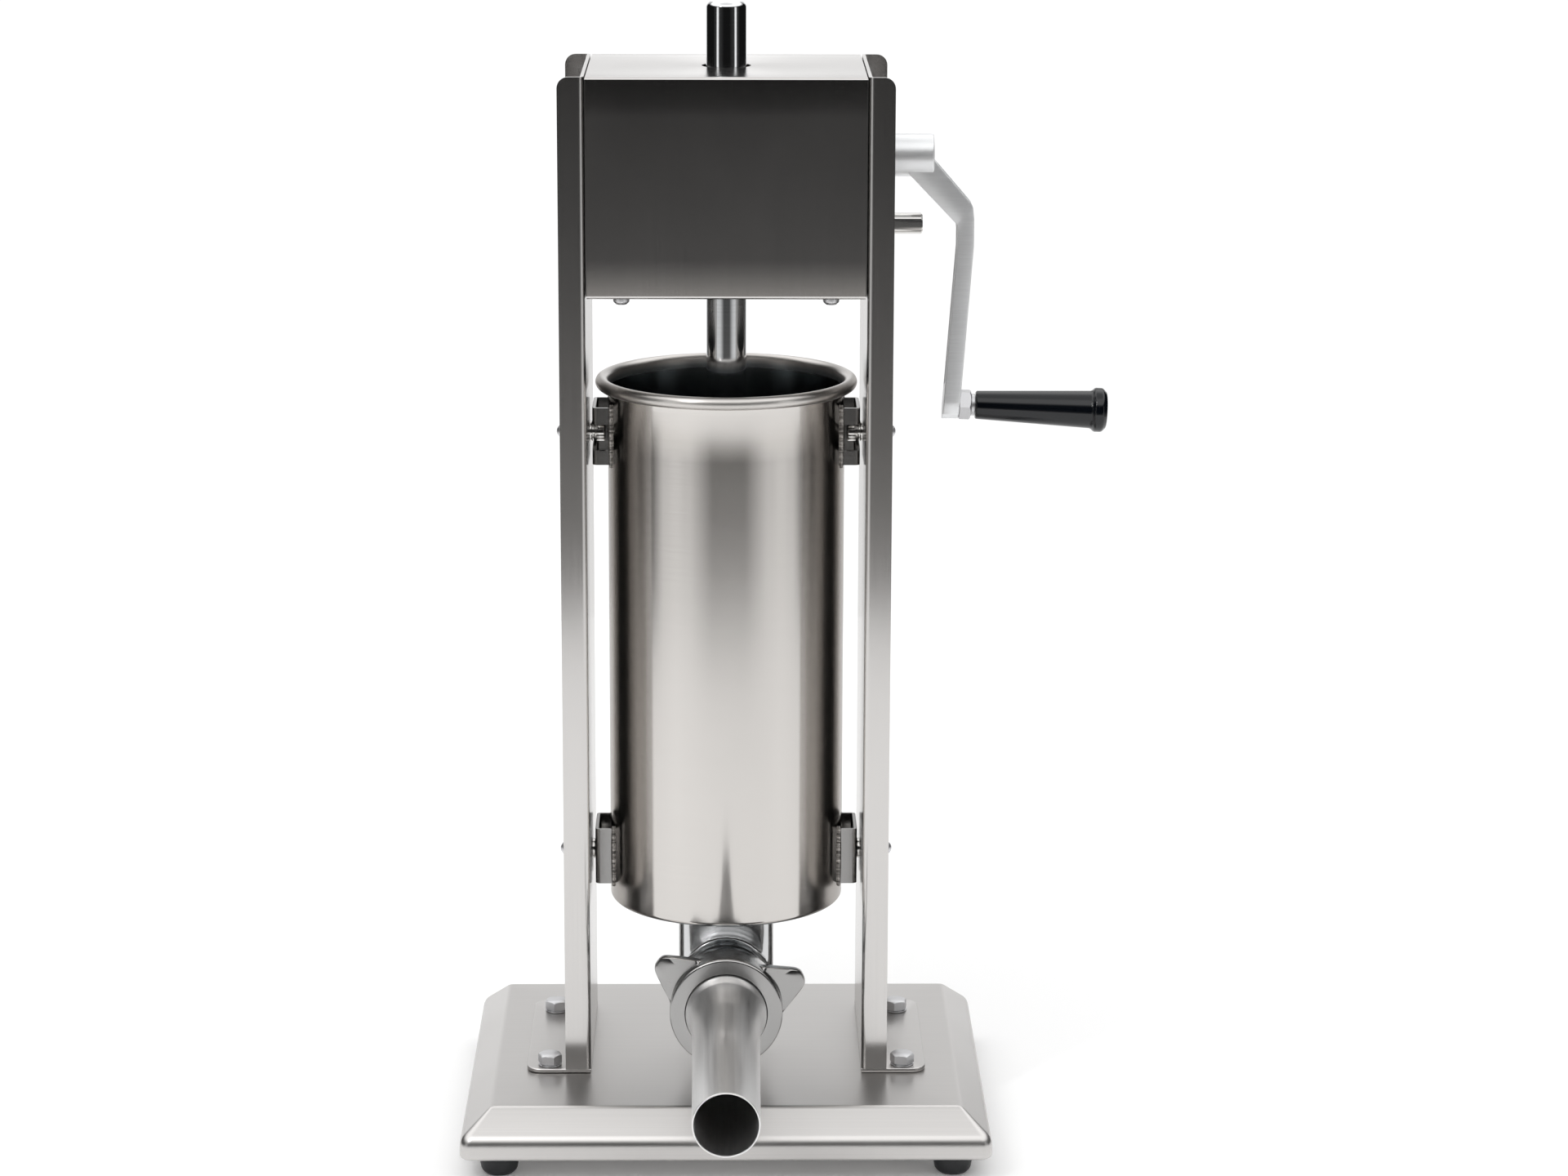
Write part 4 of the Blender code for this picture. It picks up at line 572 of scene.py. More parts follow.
def brushed_metal(name, colour, roughness, stretch, aniso, turn=0.0, line_depth=0.06,
                  spread=0.05, metallic=1.0):
    """Brushed metal: lines along one axis move roughness, tone and a slight relief.

    stretch scales Object coordinates, so a large number is across the lines."""
    material, tree, shader = new_material(name, colour, metallic, roughness)
    shader.inputs["Anisotropic"].default_value = aniso
    shader.inputs["Anisotropic Rotation"].default_value = turn
    place = node(tree, "ShaderNodeTexCoord")
    mapping = node(tree, "ShaderNodeMapping", Scale=stretch)
    lines = node(tree, "ShaderNodeGroup", node_tree=brushing_group())
    wipes = node(tree, "ShaderNodeGroup", node_tree=handling_group())
    both = maths(tree, "MULTIPLY_ADD", 0.35)
    evened = maths(tree, "MULTIPLY", 0.74)
    wire(
        tree,
        (place, "Object", mapping, "Vector"),
        (mapping, "Vector", lines, "Vector"),
        (place, "Object", wipes, "Vector"),
        (wipes, "Clouds", both, 0),
        (lines, "Lines", both, 2),
        (both, "Value", evened, 0),
    )
    vary(tree, evened.outputs["Value"], roughness - spread, roughness + spread,
         shader.inputs["Roughness"])
    tint(tree, lines.outputs["Lines"], colour, 0.95, 1.04, shader.inputs["Base Color"])
    emboss(tree, lines.outputs["Lines"], line_depth, 0.00002, shader)
    return material


def grained(name, colour, metallic, roughness, relief, grain):
    """Cast or plated metal, or moulded plastic and rubber: a fine grain in relief, with cloudy
    tone and roughness. The mouldings are cloudier, and their grain is smoother and deeper."""
    material, tree, shader = new_material(name, colour, metallic, roughness)
    place = node(tree, "ShaderNodeTexCoord")
    wipes = node(tree, "ShaderNodeGroup", node_tree=handling_group())
    noise = node(tree, "ShaderNodeTexNoise", Scale=grain, Detail=4.0)
    wire(tree, (place, "Object", wipes, "Vector"), (place, "Object", noise, "Vector"))
    if metallic:
        noise.inputs["Roughness"].default_value = 0.6
        rough, tones, depth = (roughness - 0.08, roughness + 0.10), (0.90, 1.04), 0.00006
    else:
        rough, tones, depth = (roughness * 0.8, roughness * 1.3), (0.8, 1.25), 0.0001
    clouds = wipes.outputs["Clouds"]
    vary(tree, clouds, *rough, shader.inputs["Roughness"])
    tint(tree, clouds, colour, *tones, shader.inputs["Base Color"])
    emboss(tree, noise.outputs["Fac"], relief, depth, shader)
    return material


def barrel_steel(name, sizes):
    """Satin steel whose rolled rim is duller than the wall, and whose inside carries painted shade:
    a darker colour, blended in by distance from the axis, stands in for the shade inside the cup.
    """
    material = brushed_metal(name, tuple(sizes.colour), sizes.roughness, (3, 3, 3200), 0.6,
                             0.25, line_depth=0.03, spread=0.02)
    tree = material.node_tree
    shader = tree.nodes["Principled BSDF"]
    roughness, colour = shader.inputs["Roughness"], shader.inputs["Base Color"]
    satin, bright = roughness.links[0].from_socket, colour.links[0].from_socket
    rim = high("barrel")[2] - 2.1 * sizes.bead
    # inside_painted_shade is painted shade: a darker colour for the inside of the wall and the
    # floor, standing in for the shade in the cup
    rim_roughness, inside_painted_shade = 0.34, (0.36, 0.385, 0.395, 1)
    place = node(tree, "ShaderNodeTexCoord")
    split = node(tree, "ShaderNodeSeparateXYZ")
    above = ranged(tree, rim - 0.0005, rim + 0.0005)
    mix = node(tree, "ShaderNodeMix")
    mix.inputs[3].default_value = rim_roughness
    across = node(tree, "ShaderNodeVectorMath", operation="MULTIPLY_ADD")
    across.inputs[1].default_value = (1, 1, 0)
    across.inputs[2].default_value = (-AXIS[0], -AXIS[1], 0)
    size = node(tree, "ShaderNodeVectorMath", operation="LENGTH")
    # mask: 0 nearer the axis than the wall, where the painted shade goes, and 1 on the wall's outer
    # face and the rim
    outside = ranged(tree, BARREL_RADIUS - sizes.wall * 0.7, BARREL_RADIUS - sizes.wall * 0.3)
    wire(
        tree,
        (place, "Object", split, "Vector"),
        (split, "Z", above, "Value"),
        (above, "Result", mix, 0),
        (place, "Object", across, 0),
        (across, "Vector", size, 0),
        (size, "Value", outside, "Value"),
    )
    tree.links.new(satin, mix.inputs[2])
    tree.links.new(mix.outputs[0], roughness)
    # the steel's own tone outside, the painted shade inside
    tree.links.new(blend(tree, inside_painted_shade, bright, outside.outputs["Result"]), colour)
    return material


# colour, metallic, roughness, depth of relief, grain
GRAINED = {
    "zinc_plate": ((0.50, 0.50, 0.49), 1.0, 0.14, 0.08, 1400),
    "outlet_alloy": ((0.66, 0.665, 0.67), 1.0, 0.17, 0.08, 500),
    "nut_alloy": ((0.40, 0.395, 0.39), 1.0, 0.20, 0.08, 500),
    "bearing_bronze": ((0.62, 0.43, 0.22), 1.0, 0.34, 0.15, 900),
    "gear_steel": ((0.33, 0.33, 0.33), 1.0, 0.36, 0.2, 700),
    "weld_metal": ((0.50, 0.48, 0.46), 1.0, 0.34, 0.6, 900),
    "foot_rubber": ((0.012, 0.013, 0.015), 0.0, 0.42, 0.35, 900),
    "food_rubber": ((0.72, 0.70, 0.66), 0.0, 0.45, 0.2, 500),
}
# colour, roughness, stretch, anisotropy, its turn, depth of the lines, spread of roughness
BRUSHED = {
    "bracket_steel": ((0.30, 0.295, 0.29), 0.20, (5, 1400, 1400), 0.3),
    "polished_steel": ((0.74, 0.73, 0.72), 0.13, (40, 40, 40), 0.0, 0.0, 0.03, 0.04),
    "tube_steel": ((0.86, 0.855, 0.85), 0.38, (700, 8, 700), 0.3, 0.0, 0.03, 0.05),
    "rod_chrome": ((0.76, 0.77, 0.78), 0.07, (16, 16, 900), 0.2, 0.25, 0.04, 0.03),
}


def look(name):
    """The finish of this name, made when it is first asked for."""
    found = bpy.data.materials.get(name)
    if found:
        return found
    if name in GRAINED:
        return grained(name, *GRAINED[name])
    if name in BRUSHED:
        return brushed_metal(name, *BRUSHED[name])
    sheet, crank = settings("stuffer_sheet"), settings("stuffer_crank")
    if name == "barrel_steel":
        return barrel_steel(name, settings("stuffer_barrel"))
    if name == "sheet_steel":
        return brushed_metal(name, tuple(sheet.colour), sheet.roughness, (2600, 2600, 5), 0.75,
                             spread=0.03)
    if name == "pan_steel":
        return brushed_metal(name, tuple(sheet.colour), sheet.roughness + 0.13,
                             (5, 2200, 2200), 0.2)
    if name == "satin_alloy":
        return brushed_metal(name, tuple(crank.alloy_colour), 0.37, (60, 900, 900), 0.3,
                             line_depth=0.45, spread=0.08, metallic=0.6)
    if name == "grip_plastic":
        return grained(name, tuple(crank.grip_colour), 0.0, 0.12, 0.02, 260)
    raise KeyError(name)


# ------------------------------------------------------------------ base and feet
def rounded_box_loop(half_x, half_y, radius, steps=8):
    """A rectangle with round corners, always with the same number of points."""
    radius = max(radius, 0.0002)
    corners = [(half_x, half_y), (-half_x, half_y), (-half_x, -half_y), (half_x, -half_y)]
    return filleted(corners, radius, steps)


def base_pan():
    """A closed section of (inset, height) points, carried round a rectangle whose corner radius
    shrinks with the inset: p = rectangle(half - inset, corner - inset), at that height."""
    sheet = settings("stuffer_sheet")
    lo, hi = CAD["base_pan"]
    centre, half = (lo + hi) / 2, (hi - lo) / 2
    wall, skirt, run, drop, lip = 0.0015, 0.0125, 0.018, 0.0155, 0.036
    section = [(lip, lo[2]), (0, lo[2]), (0, lo[2] + skirt), (run, lo[2] + skirt + drop),
               (run + 0.05, hi[2])]
    section = filleted(section, [0, 0.0028, sheet.pan_bend * 1.7, sheet.pan_bend, 0], 9, False)
    along = np.gradient(section, axis=0)
    along /= np.linalg.norm(along, axis=1, keepdims=True)
    inner = section + wall * np.stack([along[:, 1], -along[:, 0]], 1)
    inner[0, 0] = section[0, 0]
    rings = []
    for inset, height in np.concatenate([inner[::-1], section]):
        loop = rounded_box_loop(half[0] - inset, half[1] - inset, 0.0065 - min(inset, 0.018) * 0.26)
        rings.append(axis_points("Z", loop + centre[:2], height))
    surface = shell(np.array(rings))
    make_piece("base_pan_pressing", surface, "pan_steel", FRAME_BODY, ["base_pan"],
               40)
    for side_name in SIDES:
        for end_name in ENDS:
            bolt = f"column_bolt_{end_name}_{side_name}"
            x, y, _ = middle(bolt)
            top = hi[2] - wall
            nut = hex_head(0.013, "Z", (x, y), top, top - 0.006, bore=0.0045)
            make_piece(f"weld_nut_{end_name}_{side_name}", nut, "zinc_plate", FRAME_BODY)


def feet():
    """Turned rubber: a slightly tapered puck with a rounded foot and a shoulder."""
    for name in named("foot_"):
        lo, hi = CAD[name]
        x, y = middle(name)[:2]
        radius = (hi[0] - lo[0]) / 2
        top = low("base_pan")[2] - 0.0003
        outline = [(0, lo[2]), (radius * 0.74, lo[2]), (radius * 0.93, lo[2] + 0.0022),
                   (radius, lo[2] + 0.0065), (radius, top - 0.0004), (radius * 0.96, top), (0, top)]
        profile = filleted(outline, [0, 0.0006, 0.004, 0.004, 0.0004, 0, 0], 4, False)
        stem = [(0, top + 0.00005), (0.004, top + 0.00005), (0.004, hi[2] - 0.003),
                (0.0052, hi[2] - 0.003), (0.004, hi[2]), (0, hi[2])]
        surface = joined(turned(profile, "Z", (x, y), 48), turned(stem, "Z", (x, y), 24))
        make_piece(f"rubber_{name}", surface, "foot_rubber", FRAME_BODY, [name], 40)


# ------------------------------------------------------------------ columns and bolts
def columns():
    """A channel folded from sheet; its top edge falls as a quarter circle at each free edge:
    drop = r - sqrt(r^2 - (r - d)^2) for a distance d from the edge below r."""
    sheet = settings("stuffer_sheet")
    for side_name, side in SIDES.items():
        cad = f"column_{side_name}"
        lo, hi = CAD[cad]
        web = AXIS[0] + side * COLUMN_WEB
        flange = AXIS[0] + side * COLUMN_FLANGE
        y0, y1 = AXIS[1] - 0.065, AXIS[1] + 0.065
        plate_top = lo[2] + 0.0025
        corner = 0.0065
        d = corner * (1 - np.cos(np.linspace(0, math.pi / 2, 9)))
        free = np.stack([flange - side * d, np.full(9, y0)], 1)
        fold = filleted([(flange, y0), (web, y0), (web, y1), (flange, y1)],
                        [0, sheet.bend, sheet.bend, 0], 8, False)[1:-1]
        web_low, web_high = fold[8], fold[9]
        spread = web_low + (web_high - web_low) * np.linspace(0, 1, 8)[1:-1, None]
        mirrored = (free * (1, -1) + (0, y0 + y1))[::-1]
        path = np.concatenate([free, fold[:9], spread, fold[9:], mirrored])
        drop = corner - np.sqrt(np.maximum(corner**2 - (corner - d) ** 2, 0))
        tops = np.full(len(path), hi[2])
        tops[:9] -= drop
        tops[-9:] -= drop[::-1]
        surface = folded_sheet(path, side * -sheet.thickness, "Z", plate_top + 0.00005, tops)
        channel = make_piece(f"channel_{side_name}", surface, "sheet_steel", FRAME_BODY, [cad],
                             40)
        if side > 0:
            bush_hole = 0.0094
            combine(channel, [
                cylinder(bush_hole, web - 0.01, web + 0.01, "X",
                         middle(f"{level}_bush_right")[1:], 48)
                for level in ("upper", "lower")
            ])
            smooth(channel, 40)
        far = AXIS[0] + side * (COLUMN_WEB + 0.0392)
        half = 0.064
        corners = [(web, AXIS[1] - half), (far, AXIS[1] - half), (far, AXIS[1] + half),
                   (web, AXIS[1] + half)]
        outline = filleted(corners, [0.0003, 0.009, 0.009, 0.0003], 8)
        plate = prism(outline, "Z", lo[2], plate_top, 0.0005)
        make_piece(f"foot_plate_{side_name}", plate, "pan_steel", FRAME_BODY)
        weld_column_foot(side_name, side, web, plate_top, sheet.thickness)


def weld_column_foot(side_name, side, web, plate_top, thickness):
    """Two short fillet welds along the foot of the web, each a bead of radius
    r * (0.8 + 0.2 |sin|) along its run."""
    beads = []
    for run in (-0.030, 0.012):
        y = np.linspace(run, run + 0.022, 60) + AXIS[1]
        x = np.full(60, web + side * (thickness + 0.0006))
        ends = np.sin(np.linspace(0.06, math.pi - 0.06, 60)) ** 0.3
        radii = 0.0017 * (0.8 + 0.2 * np.abs(np.sin(np.arange(60) * 0.8))) * ends
        beads.append(tube_along(np.stack([x, y, np.full(60, plate_top + 0.0005)], 1), radii, 12))
    make_piece(f"foot_weld_{side_name}", joined(*beads), "weld_metal", FRAME_BODY)


def column_bolts():
    """Hex heads with turned corners on a spring washer and a plain washer, over the shank."""
    for name in named("column_bolt_"):
        lo, hi = CAD[name]
        x, y = middle(name)[:2]
        seat = high("base_pan")[2] + 0.0031
        phase = 0.35 if "front" in name else 0.9
        washer = [(0.0042, seat), (0.0071, seat), (0.0071, seat + 0.0006), (0.0042, seat + 0.0006)]
        spring = [(0.0042, seat + 0.0007), (0.0062, seat + 0.0007), (0.0062, seat + 0.0013),
                  (0.0042, seat + 0.0013)]
        shank = [(0, lo[2]), (0.0037, lo[2]), (0.004, lo[2] + 0.0006), (0.004, seat + 0.0015),
                 (0, seat + 0.0015)]
        surface = joined(
            hex_head(0.0128, "Z", (x, y), seat + 0.0014, hi[2], 0.0009, phase),
            turned(filleted(washer, 0.0002, 2), "Z", (x, y), 48),
            turned(filleted(spring, 0.0002, 2), "Z", (x, y), 48),
            turned(shank, "Z", (x, y), 24),
        )
        make_piece(f"hex_{name}", surface, "zinc_plate", FRAME_BODY, [name])


# ------------------------------------------------------------------ barrel and its hangers
def barrel():
    """A straight cup, revolved: flat floor, rounded lower edge, wall and a rolled rim."""
    sizes = settings("stuffer_barrel")
    lo, hi = CAD["barrel"]
    radius, wall, bead = BARREL_RADIUS, sizes.wall, sizes.bead
    inner = radius - wall
    rim_z = hi[2] - bead
    bead_profile = arc((radius + bead * 0.92, rim_z), bead, -128, 168, 26)
    floor_top = lo[2] + 0.0015
    outside = filleted([(0, lo[2]), (radius, lo[2]), (radius, rim_z - bead * 2.1)],
                       [0, 0.003, 0], 8, False)
    inside = filleted([(inner, rim_z - bead * 1.2), (inner, floor_top), (0, floor_top)],
                      [0, 0.003, 0], 6, False)
    span = np.linspace(0, 1, 12)[1:-1, None]
    wall_outside = outside[-2] + (outside[-1] - outside[-2]) * span
    wall_inside = inside[0] + (inside[1] - inside[0]) * span
    profile = np.concatenate([outside[:-1], wall_outside, outside[-1:], bead_profile, inside[:1],
                              wall_inside, inside[1:]])
    cup = make_piece("barrel_cup", turned(profile, "Z", AXIS[:2], 192), "barrel_steel",
                     FRAME_BODY, ["barrel"], 38)
    hole_radius, hole_y = 0.022, AXIS[1] - 0.021
    combine(cup, [cylinder(hole_radius, lo[2] - 0.01, floor_top + 0.01, "Z",
                           (AXIS[0], hole_y), 64)])
    smooth(cup, 38)


def brackets():
    """A channel folded round the hanger pin, whose legs reach the barrel and are welded there.

    The upper pair is slotted to the front, and the lower pair has a slot from below in the web."""
    half, web, thickness, clear = 0.018, 0.0798, 0.002, 0.0068
    seat_radius = 0.0713
    for side_name, side in SIDES.items():
        for level in ("upper", "lower"):
            cad = f"{level}_bracket_{side_name}"
            lo, hi = CAD[cad]
            pin_z = middle(f"{level}_{side_name}_pin")[2]
            out = AXIS[0] + side * web
            reach = math.sqrt(seat_radius**2 - (half - 0.001) ** 2) - 0.0002
            root = AXIS[0] + side * reach
            y0, y1 = AXIS[1] - half, AXIS[1] + half
            path = filleted([(root, y0), (out, y0), (out, y1), (root, y1)],
                            [0, 0.003, 0.003, 0], 8, False)
            surface = folded_sheet(path, side * thickness, "Z", lo[2], hi[2])
            piece = raw_piece(f"bracket_{level}_{side_name}", surface)
            if level == "upper":
                slot = np.concatenate([
                    arc((AXIS[1], pin_z), clear, 90, -90, 12),
                    [(AXIS[1] - 0.009, pin_z - clear), (AXIS[1] - 0.026, pin_z - clear * 1.55),
                     (AXIS[1] - 0.026, pin_z + clear * 1.1), (AXIS[1] - 0.009, pin_z + clear)],
                ])
                near, far = root - side * 0.004, out + side * 0.004
            else:
                slot = np.concatenate([
                    arc((AXIS[1], pin_z), clear, 0, 180, 12),
                    [(AXIS[1] - clear, lo[2] - 0.004), (AXIS[1] + clear, lo[2] - 0.004)],
                ])
                near, far = out - side * 0.003, out + side * 0.004
            combine(piece, [prism(slot, "X", near, far)])
            finish_piece(piece, "bracket_steel", FRAME_BODY, [cad], 40)
            weld_bracket(level, side_name, side, lo[2], hi[2])


def weld_bracket(level, side_name, side, bottom, top):
    """Two lumpy beads down the barrel, one where each of the bracket's legs ends."""
    beads = []
    run_radius, run_y = 0.0714, 0.0186
    for end in (-1, 1):
        angle = math.asin(run_y / run_radius)
        x = AXIS[0] + side * run_radius * math.cos(angle)
        y = AXIS[1] + end * run_y
        z = np.linspace(bottom - 0.0015, top + 0.0022, 120)
        wobble = 0.00025 * np.sin(z * 2600) + 0.0002 * np.sin(z * 1130 + 1.3)
        ends = np.sin(np.linspace(0.05, math.pi - 0.05, 120)) ** 0.25
        radii = 0.00135 * (0.78 + 0.22 * np.abs(np.sin(z * 2100))) * ends
        path = np.stack([x + 0 * z, y + end * (0.0004 + wobble), z], 1)
        beads.append(tube_along(path, radii, 14))
    make_piece(f"bracket_weld_{level}_{side_name}", joined(*beads), "weld_metal", FRAME_BODY)


def hangers():
    """Grooved pins turned about X, and cap nuts: a hexagon, then a dome of
    radius * (cos a, sin a)."""
    for side_name, side in SIDES.items():
        for level in ("upper", "lower"):
            pin = f"{level}_{side_name}_pin"
            nut = f"{level}_{side_name}_cap_nut"
            centre = middle(pin)[1:]
            web = AXIS[0] + side * 0.0815
            inner = AXIS[0] + side * 0.0725
            outline = [(0, inner), (0.0060, inner), (0.0060, web - side * 0.0026),
                       (0.0050, web - side * 0.0026), (0.0050, web - side * 0.0014),
                       (0.0062, web - side * 0.0014), (0.0062, web), (0.0040, web),
                       (0.0040, web + side * 0.0150), (0, web + side * 0.0150)]
            profile = filleted(outline, [0, 0.0009, 0.0003, 0, 0, 0.0003, 0, 0, 0, 0], 3, False)
            make_piece(f"turned_{pin}", turned(profile, "X", centre, 48), "polished_steel",
                       FRAME_BODY, [pin])
            lo, hi = CAD[nut]
            seat = lo[0] if side > 0 else hi[0]
            end = hi[0] if side > 0 else lo[0]
            hex_end = seat + side * 0.0068
            collar = hex_end + side * 0.0012
            dome = arc((0, 0), 1, 0, 90, 10)
            height = abs(end - collar)
            curve = np.stack([0.00615 * dome[:, 0], collar + side * height * dome[:, 1]], 1)
            curve[-1, 0] = 0
            rise = np.array([(0, hex_end - side * 0.0004), (0.0060, hex_end - side * 0.0004)])
            surface = joined(
                hex_head(0.0128, "X", centre, seat, hex_end, 0.0007, math.pi / 6),
                turned(np.concatenate([rise, curve]), "X", centre, 48),
            )
            make_piece(f"capped_{nut}", surface, "zinc_plate", FRAME_BODY, [nut], 45)


# ------------------------------------------------------------------ gear case
def case_cover():
    """The cover's folded path in (y, z), carried along X, with the ram's hole cut in the top."""
    sheet = settings("stuffer_sheet")
    lo, hi = CAD["case_cover"]
    y0, y1 = lo[1], hi[1]
    lip = 0.020
    corners = [(y0 + lip, lo[2]), (y0, lo[2]), (y0, hi[2]), (y1, hi[2]), (y1, lo[2]),
               (y1 - lip, lo[2])]
    bend = 0.0020
    path = filleted(corners, [0, bend, bend, bend, bend, 0], 8, False)
    dense = [path[0]]
    for a, b in zip(path[:-1], path[1:]):
        steps = max(1, int(np.linalg.norm(b - a) / 0.02))
        dense += [a + (b - a) * t for t in np.linspace(0, 1, steps + 1)[1:]]
    surface = folded_sheet(np.array(dense), -sheet.cover_thickness, "X", lo[0], hi[0])
    piece = raw_piece("cover_sheet", surface)
    rod_hole = 0.0145
    combine(piece, [cylinder(rod_hole, hi[2] - 0.01, hi[2] + 0.01, "Z", AXIS[:2], 96)])
    finish_piece(piece, "sheet_steel", FRAME_BODY, ["case_cover"], 30)


def case_screws():
    """Pan heads with a cross cut in, and button heads with a hexagon cut in."""
    for side_name in SIDES:
        name = f"cover_screw_{side_name}"
        lo, hi = CAD[name]
        centre = middle(name)[:2]
        seat = low("case_cover")[2] - 0.0003
        outline = [(0, lo[2]), (0.0030, lo[2]), (0.0047, lo[2] + 0.0016), (0.0049, seat),
                   (0.0020, seat), (0.0020, hi[2] - 0.001), (0.0014, hi[2]), (0, hi[2])]
        profile = filleted(outline, [0, 0.0012, 0.0012, 0.0002, 0, 0, 0, 0], 4, False)
        piece = raw_piece(f"pan_{name}", turned(profile, "Z", centre, 48))
        bars = []
        for u, v in ((0.0024, 0.0004), (0.0004, 0.0024)):
            corners = [(u, v), (-u, v), (-u, -v), (u, -v)]
            bars.append(prism(np.array(corners) + centre, "Z", lo[2] - 0.001, lo[2] + 0.0014))
        combine(piece, bars)
        finish_piece(piece, "zinc_plate", FRAME_BODY, [name])
    for name in named("case_bolt_"):
        lo, hi = CAD[name]
        centre = middle(name)[1:]
        side = 1 if name.endswith("right") else -1
        tip, head = (lo[0], hi[0]) if side > 0 else (hi[0], lo[0])
        seat = AXIS[0] + side * 0.0841
        outline = [(0, tip), (0.0030, tip), (0.0030, seat), (0.0055, seat),
                   (0.0054, head - side * 0.0012), (0.0030, head), (0, head)]
        profile = filleted(outline, [0, 0, 0, 0.0002, 0.0016, 0.0014, 0], 4, False)
        piece = raw_piece(f"button_{name}", turned(profile, "X", centre, 48))
        socket = hex_head(0.004, "X", centre, head - side * 0.0018, head + side * 0.002, 0.0001)
        combine(piece, [socket])
        finish_piece(piece, "zinc_plate", FRAME_BODY, [name])


# ------------------------------------------------------------------ ram and piston
def ram_rod():
    """A rod whose back is cut flat to depth(z): each ring is (r cos a, min(r sin a, depth)).

    depth steps between the tooth tips and the tooth roots of a rack of module 2."""
    lo, hi = CAD["rack_rod"]
    radius, tip, root = 0.012, 0.0105, 0.006
    pitch, slope = math.pi * 0.002, math.tan(math.radians(25))
    half_space = pitch / 4 + 0.00008
    at_tip, at_root = half_space + 0.002 * slope, half_space - 0.0025 * slope
    shaft_z = SHAFT[2]
    index = np.arange(math.ceil(-0.333 / pitch), math.floor(0.021 / pitch) + 1)
    centre = shaft_z + index * pitch
    z = np.stack([centre - at_tip, centre - at_root, centre + at_root, centre + at_tip], 1).ravel()
    depth = np.tile([tip, root, root, tip], len(index))
    shoulder = high("piston")[2] + 0.0003
    stud = 0.006
    chamfer = 0.0028
    plain = [(lo[2], stud), (shoulder, stud), (shoulder, radius), (z[0] - 0.0001, radius)]
    upper = [(z[-1] + 0.0001, radius), (hi[2] - chamfer, radius),
             (hi[2] - chamfer * 0.55, radius * 0.965), (hi[2] - chamfer * 0.15, radius * 0.86),
             (hi[2], radius * 0.80)]
    heights = np.concatenate([[p[0] for p in plain], z, [p[0] for p in upper]])
    radii = np.concatenate([[p[1] for p in plain], np.full(len(z), radius), [p[1] for p in upper]])
    depths = np.concatenate([np.full(4, 1.0), depth, np.full(len(upper), 1.0)])
    a = np.arange(96) * 2 * math.pi / 96
    u = radii[:, None] * np.cos(a)
    v = np.minimum(radii[:, None] * np.sin(a), depths[:, None])
    rings = axis_points("Z", np.stack([u + AXIS[0], v + AXIS[1]], -1), heights[:, None])
    make_piece("ram_bar", shell(rings), "rod_chrome", "ram", ["rack_rod"], 30)


def piston_parts():
    """Piston, seal, nut and air valve, each revolved or hexagonal."""
    lo, hi = CAD["piston"]
    radius, groove, rib = 0.067, 0.0654, 0.002
    outline = [(0.0063, lo[2]), (radius, lo[2]), (radius, lo[2] + rib), (groove, lo[2] + rib),
               (groove, hi[2] - rib), (radius, hi[2] - rib), (radius, hi[2]), (0.0063, hi[2])]
    profile = filleted(outline, [0, 0.0006, 0, 0, 0, 0, 0.0006, 0], 3)
    make_piece("piston_plate", turned(profile, "Z", AXIS[:2], 160), "polished_steel", "ram",
               ["piston"])
    lo, hi = CAD["piston_seal"]
    outline = [(groove + 0.0003, lo[2]), (0.0694, lo[2]), (0.0694, hi[2]), (groove + 0.0003, hi[2])]
    profile = filleted(outline, [0, 0.0015, 0.0015, 0], 5)
    make_piece("seal_ring", turned(profile, "Z", AXIS[:2], 160), "food_rubber", "ram",
               ["piston_seal"])
    lo, hi = CAD["piston_nut"]
    nut = hex_head(0.019, "Z", AXIS[:2], hi[2], lo[2], 0.001, bore=0.0063)
    make_piece("ram_nut", nut, "zinc_plate", "ram", ["piston_nut"])
    lo, hi = CAD["air_valve"]
    cap = hi[2] - 0.0028
    keeper = lo[2] + 0.0018
    outline = [(0, lo[2]), (0.005, lo[2]), (0.005, keeper), (0.003, keeper), (0.003, cap),
               (0.0065, cap), (0.0065, hi[2]), (0, hi[2])]
    profile = filleted(outline, [0, 0.0005, 0.0003, 0, 0, 0.0003, 0.0012, 0], 4, False)
    make_piece("valve_poppet", turned(profile, "Z", middle("air_valve")[:2], 40), "food_rubber",
               "air_valve_body", ["air_valve"])


# ------------------------------------------------------------------ shafts and crank
def shafts():
    """Round bars whose outer end is cut flat: each ring is (min(r cos a, flat), r sin a)."""
    for name, body, flat_length in (("rack_shaft", "rack_shaft_body", 0.034),
                                    ("reduction_shaft", "reduction_shaft_body", 0.022)):
        lo, hi = CAD[name]
        centre = middle(name)[1:]
        radius, chamfer = 0.00635, 0.0009
        start, end = lo[0], hi[0]
        flat = radius - 0.0011
        x = np.array([start, start + chamfer, end - flat_length, end - flat_length + 0.0008,
                      end - chamfer, end])
        r = np.array([radius - chamfer, radius, radius, radius, radius, radius - chamfer])
        limit = np.array([1, 1, 1, flat, flat, flat])
        a = np.arange(64) * 2 * math.pi / 64
        u = np.minimum(r[:, None] * np.cos(a), limit[:, None])
        if name == "reduction_shaft":
            u = -u
        v = r[:, None] * np.sin(a)
        rings = axis_points("X", np.stack([u + centre[0], v + centre[1]], -1), x[:, None])
        make_piece(f"turned_{name}", shell(rings), "polished_steel", body, [name])


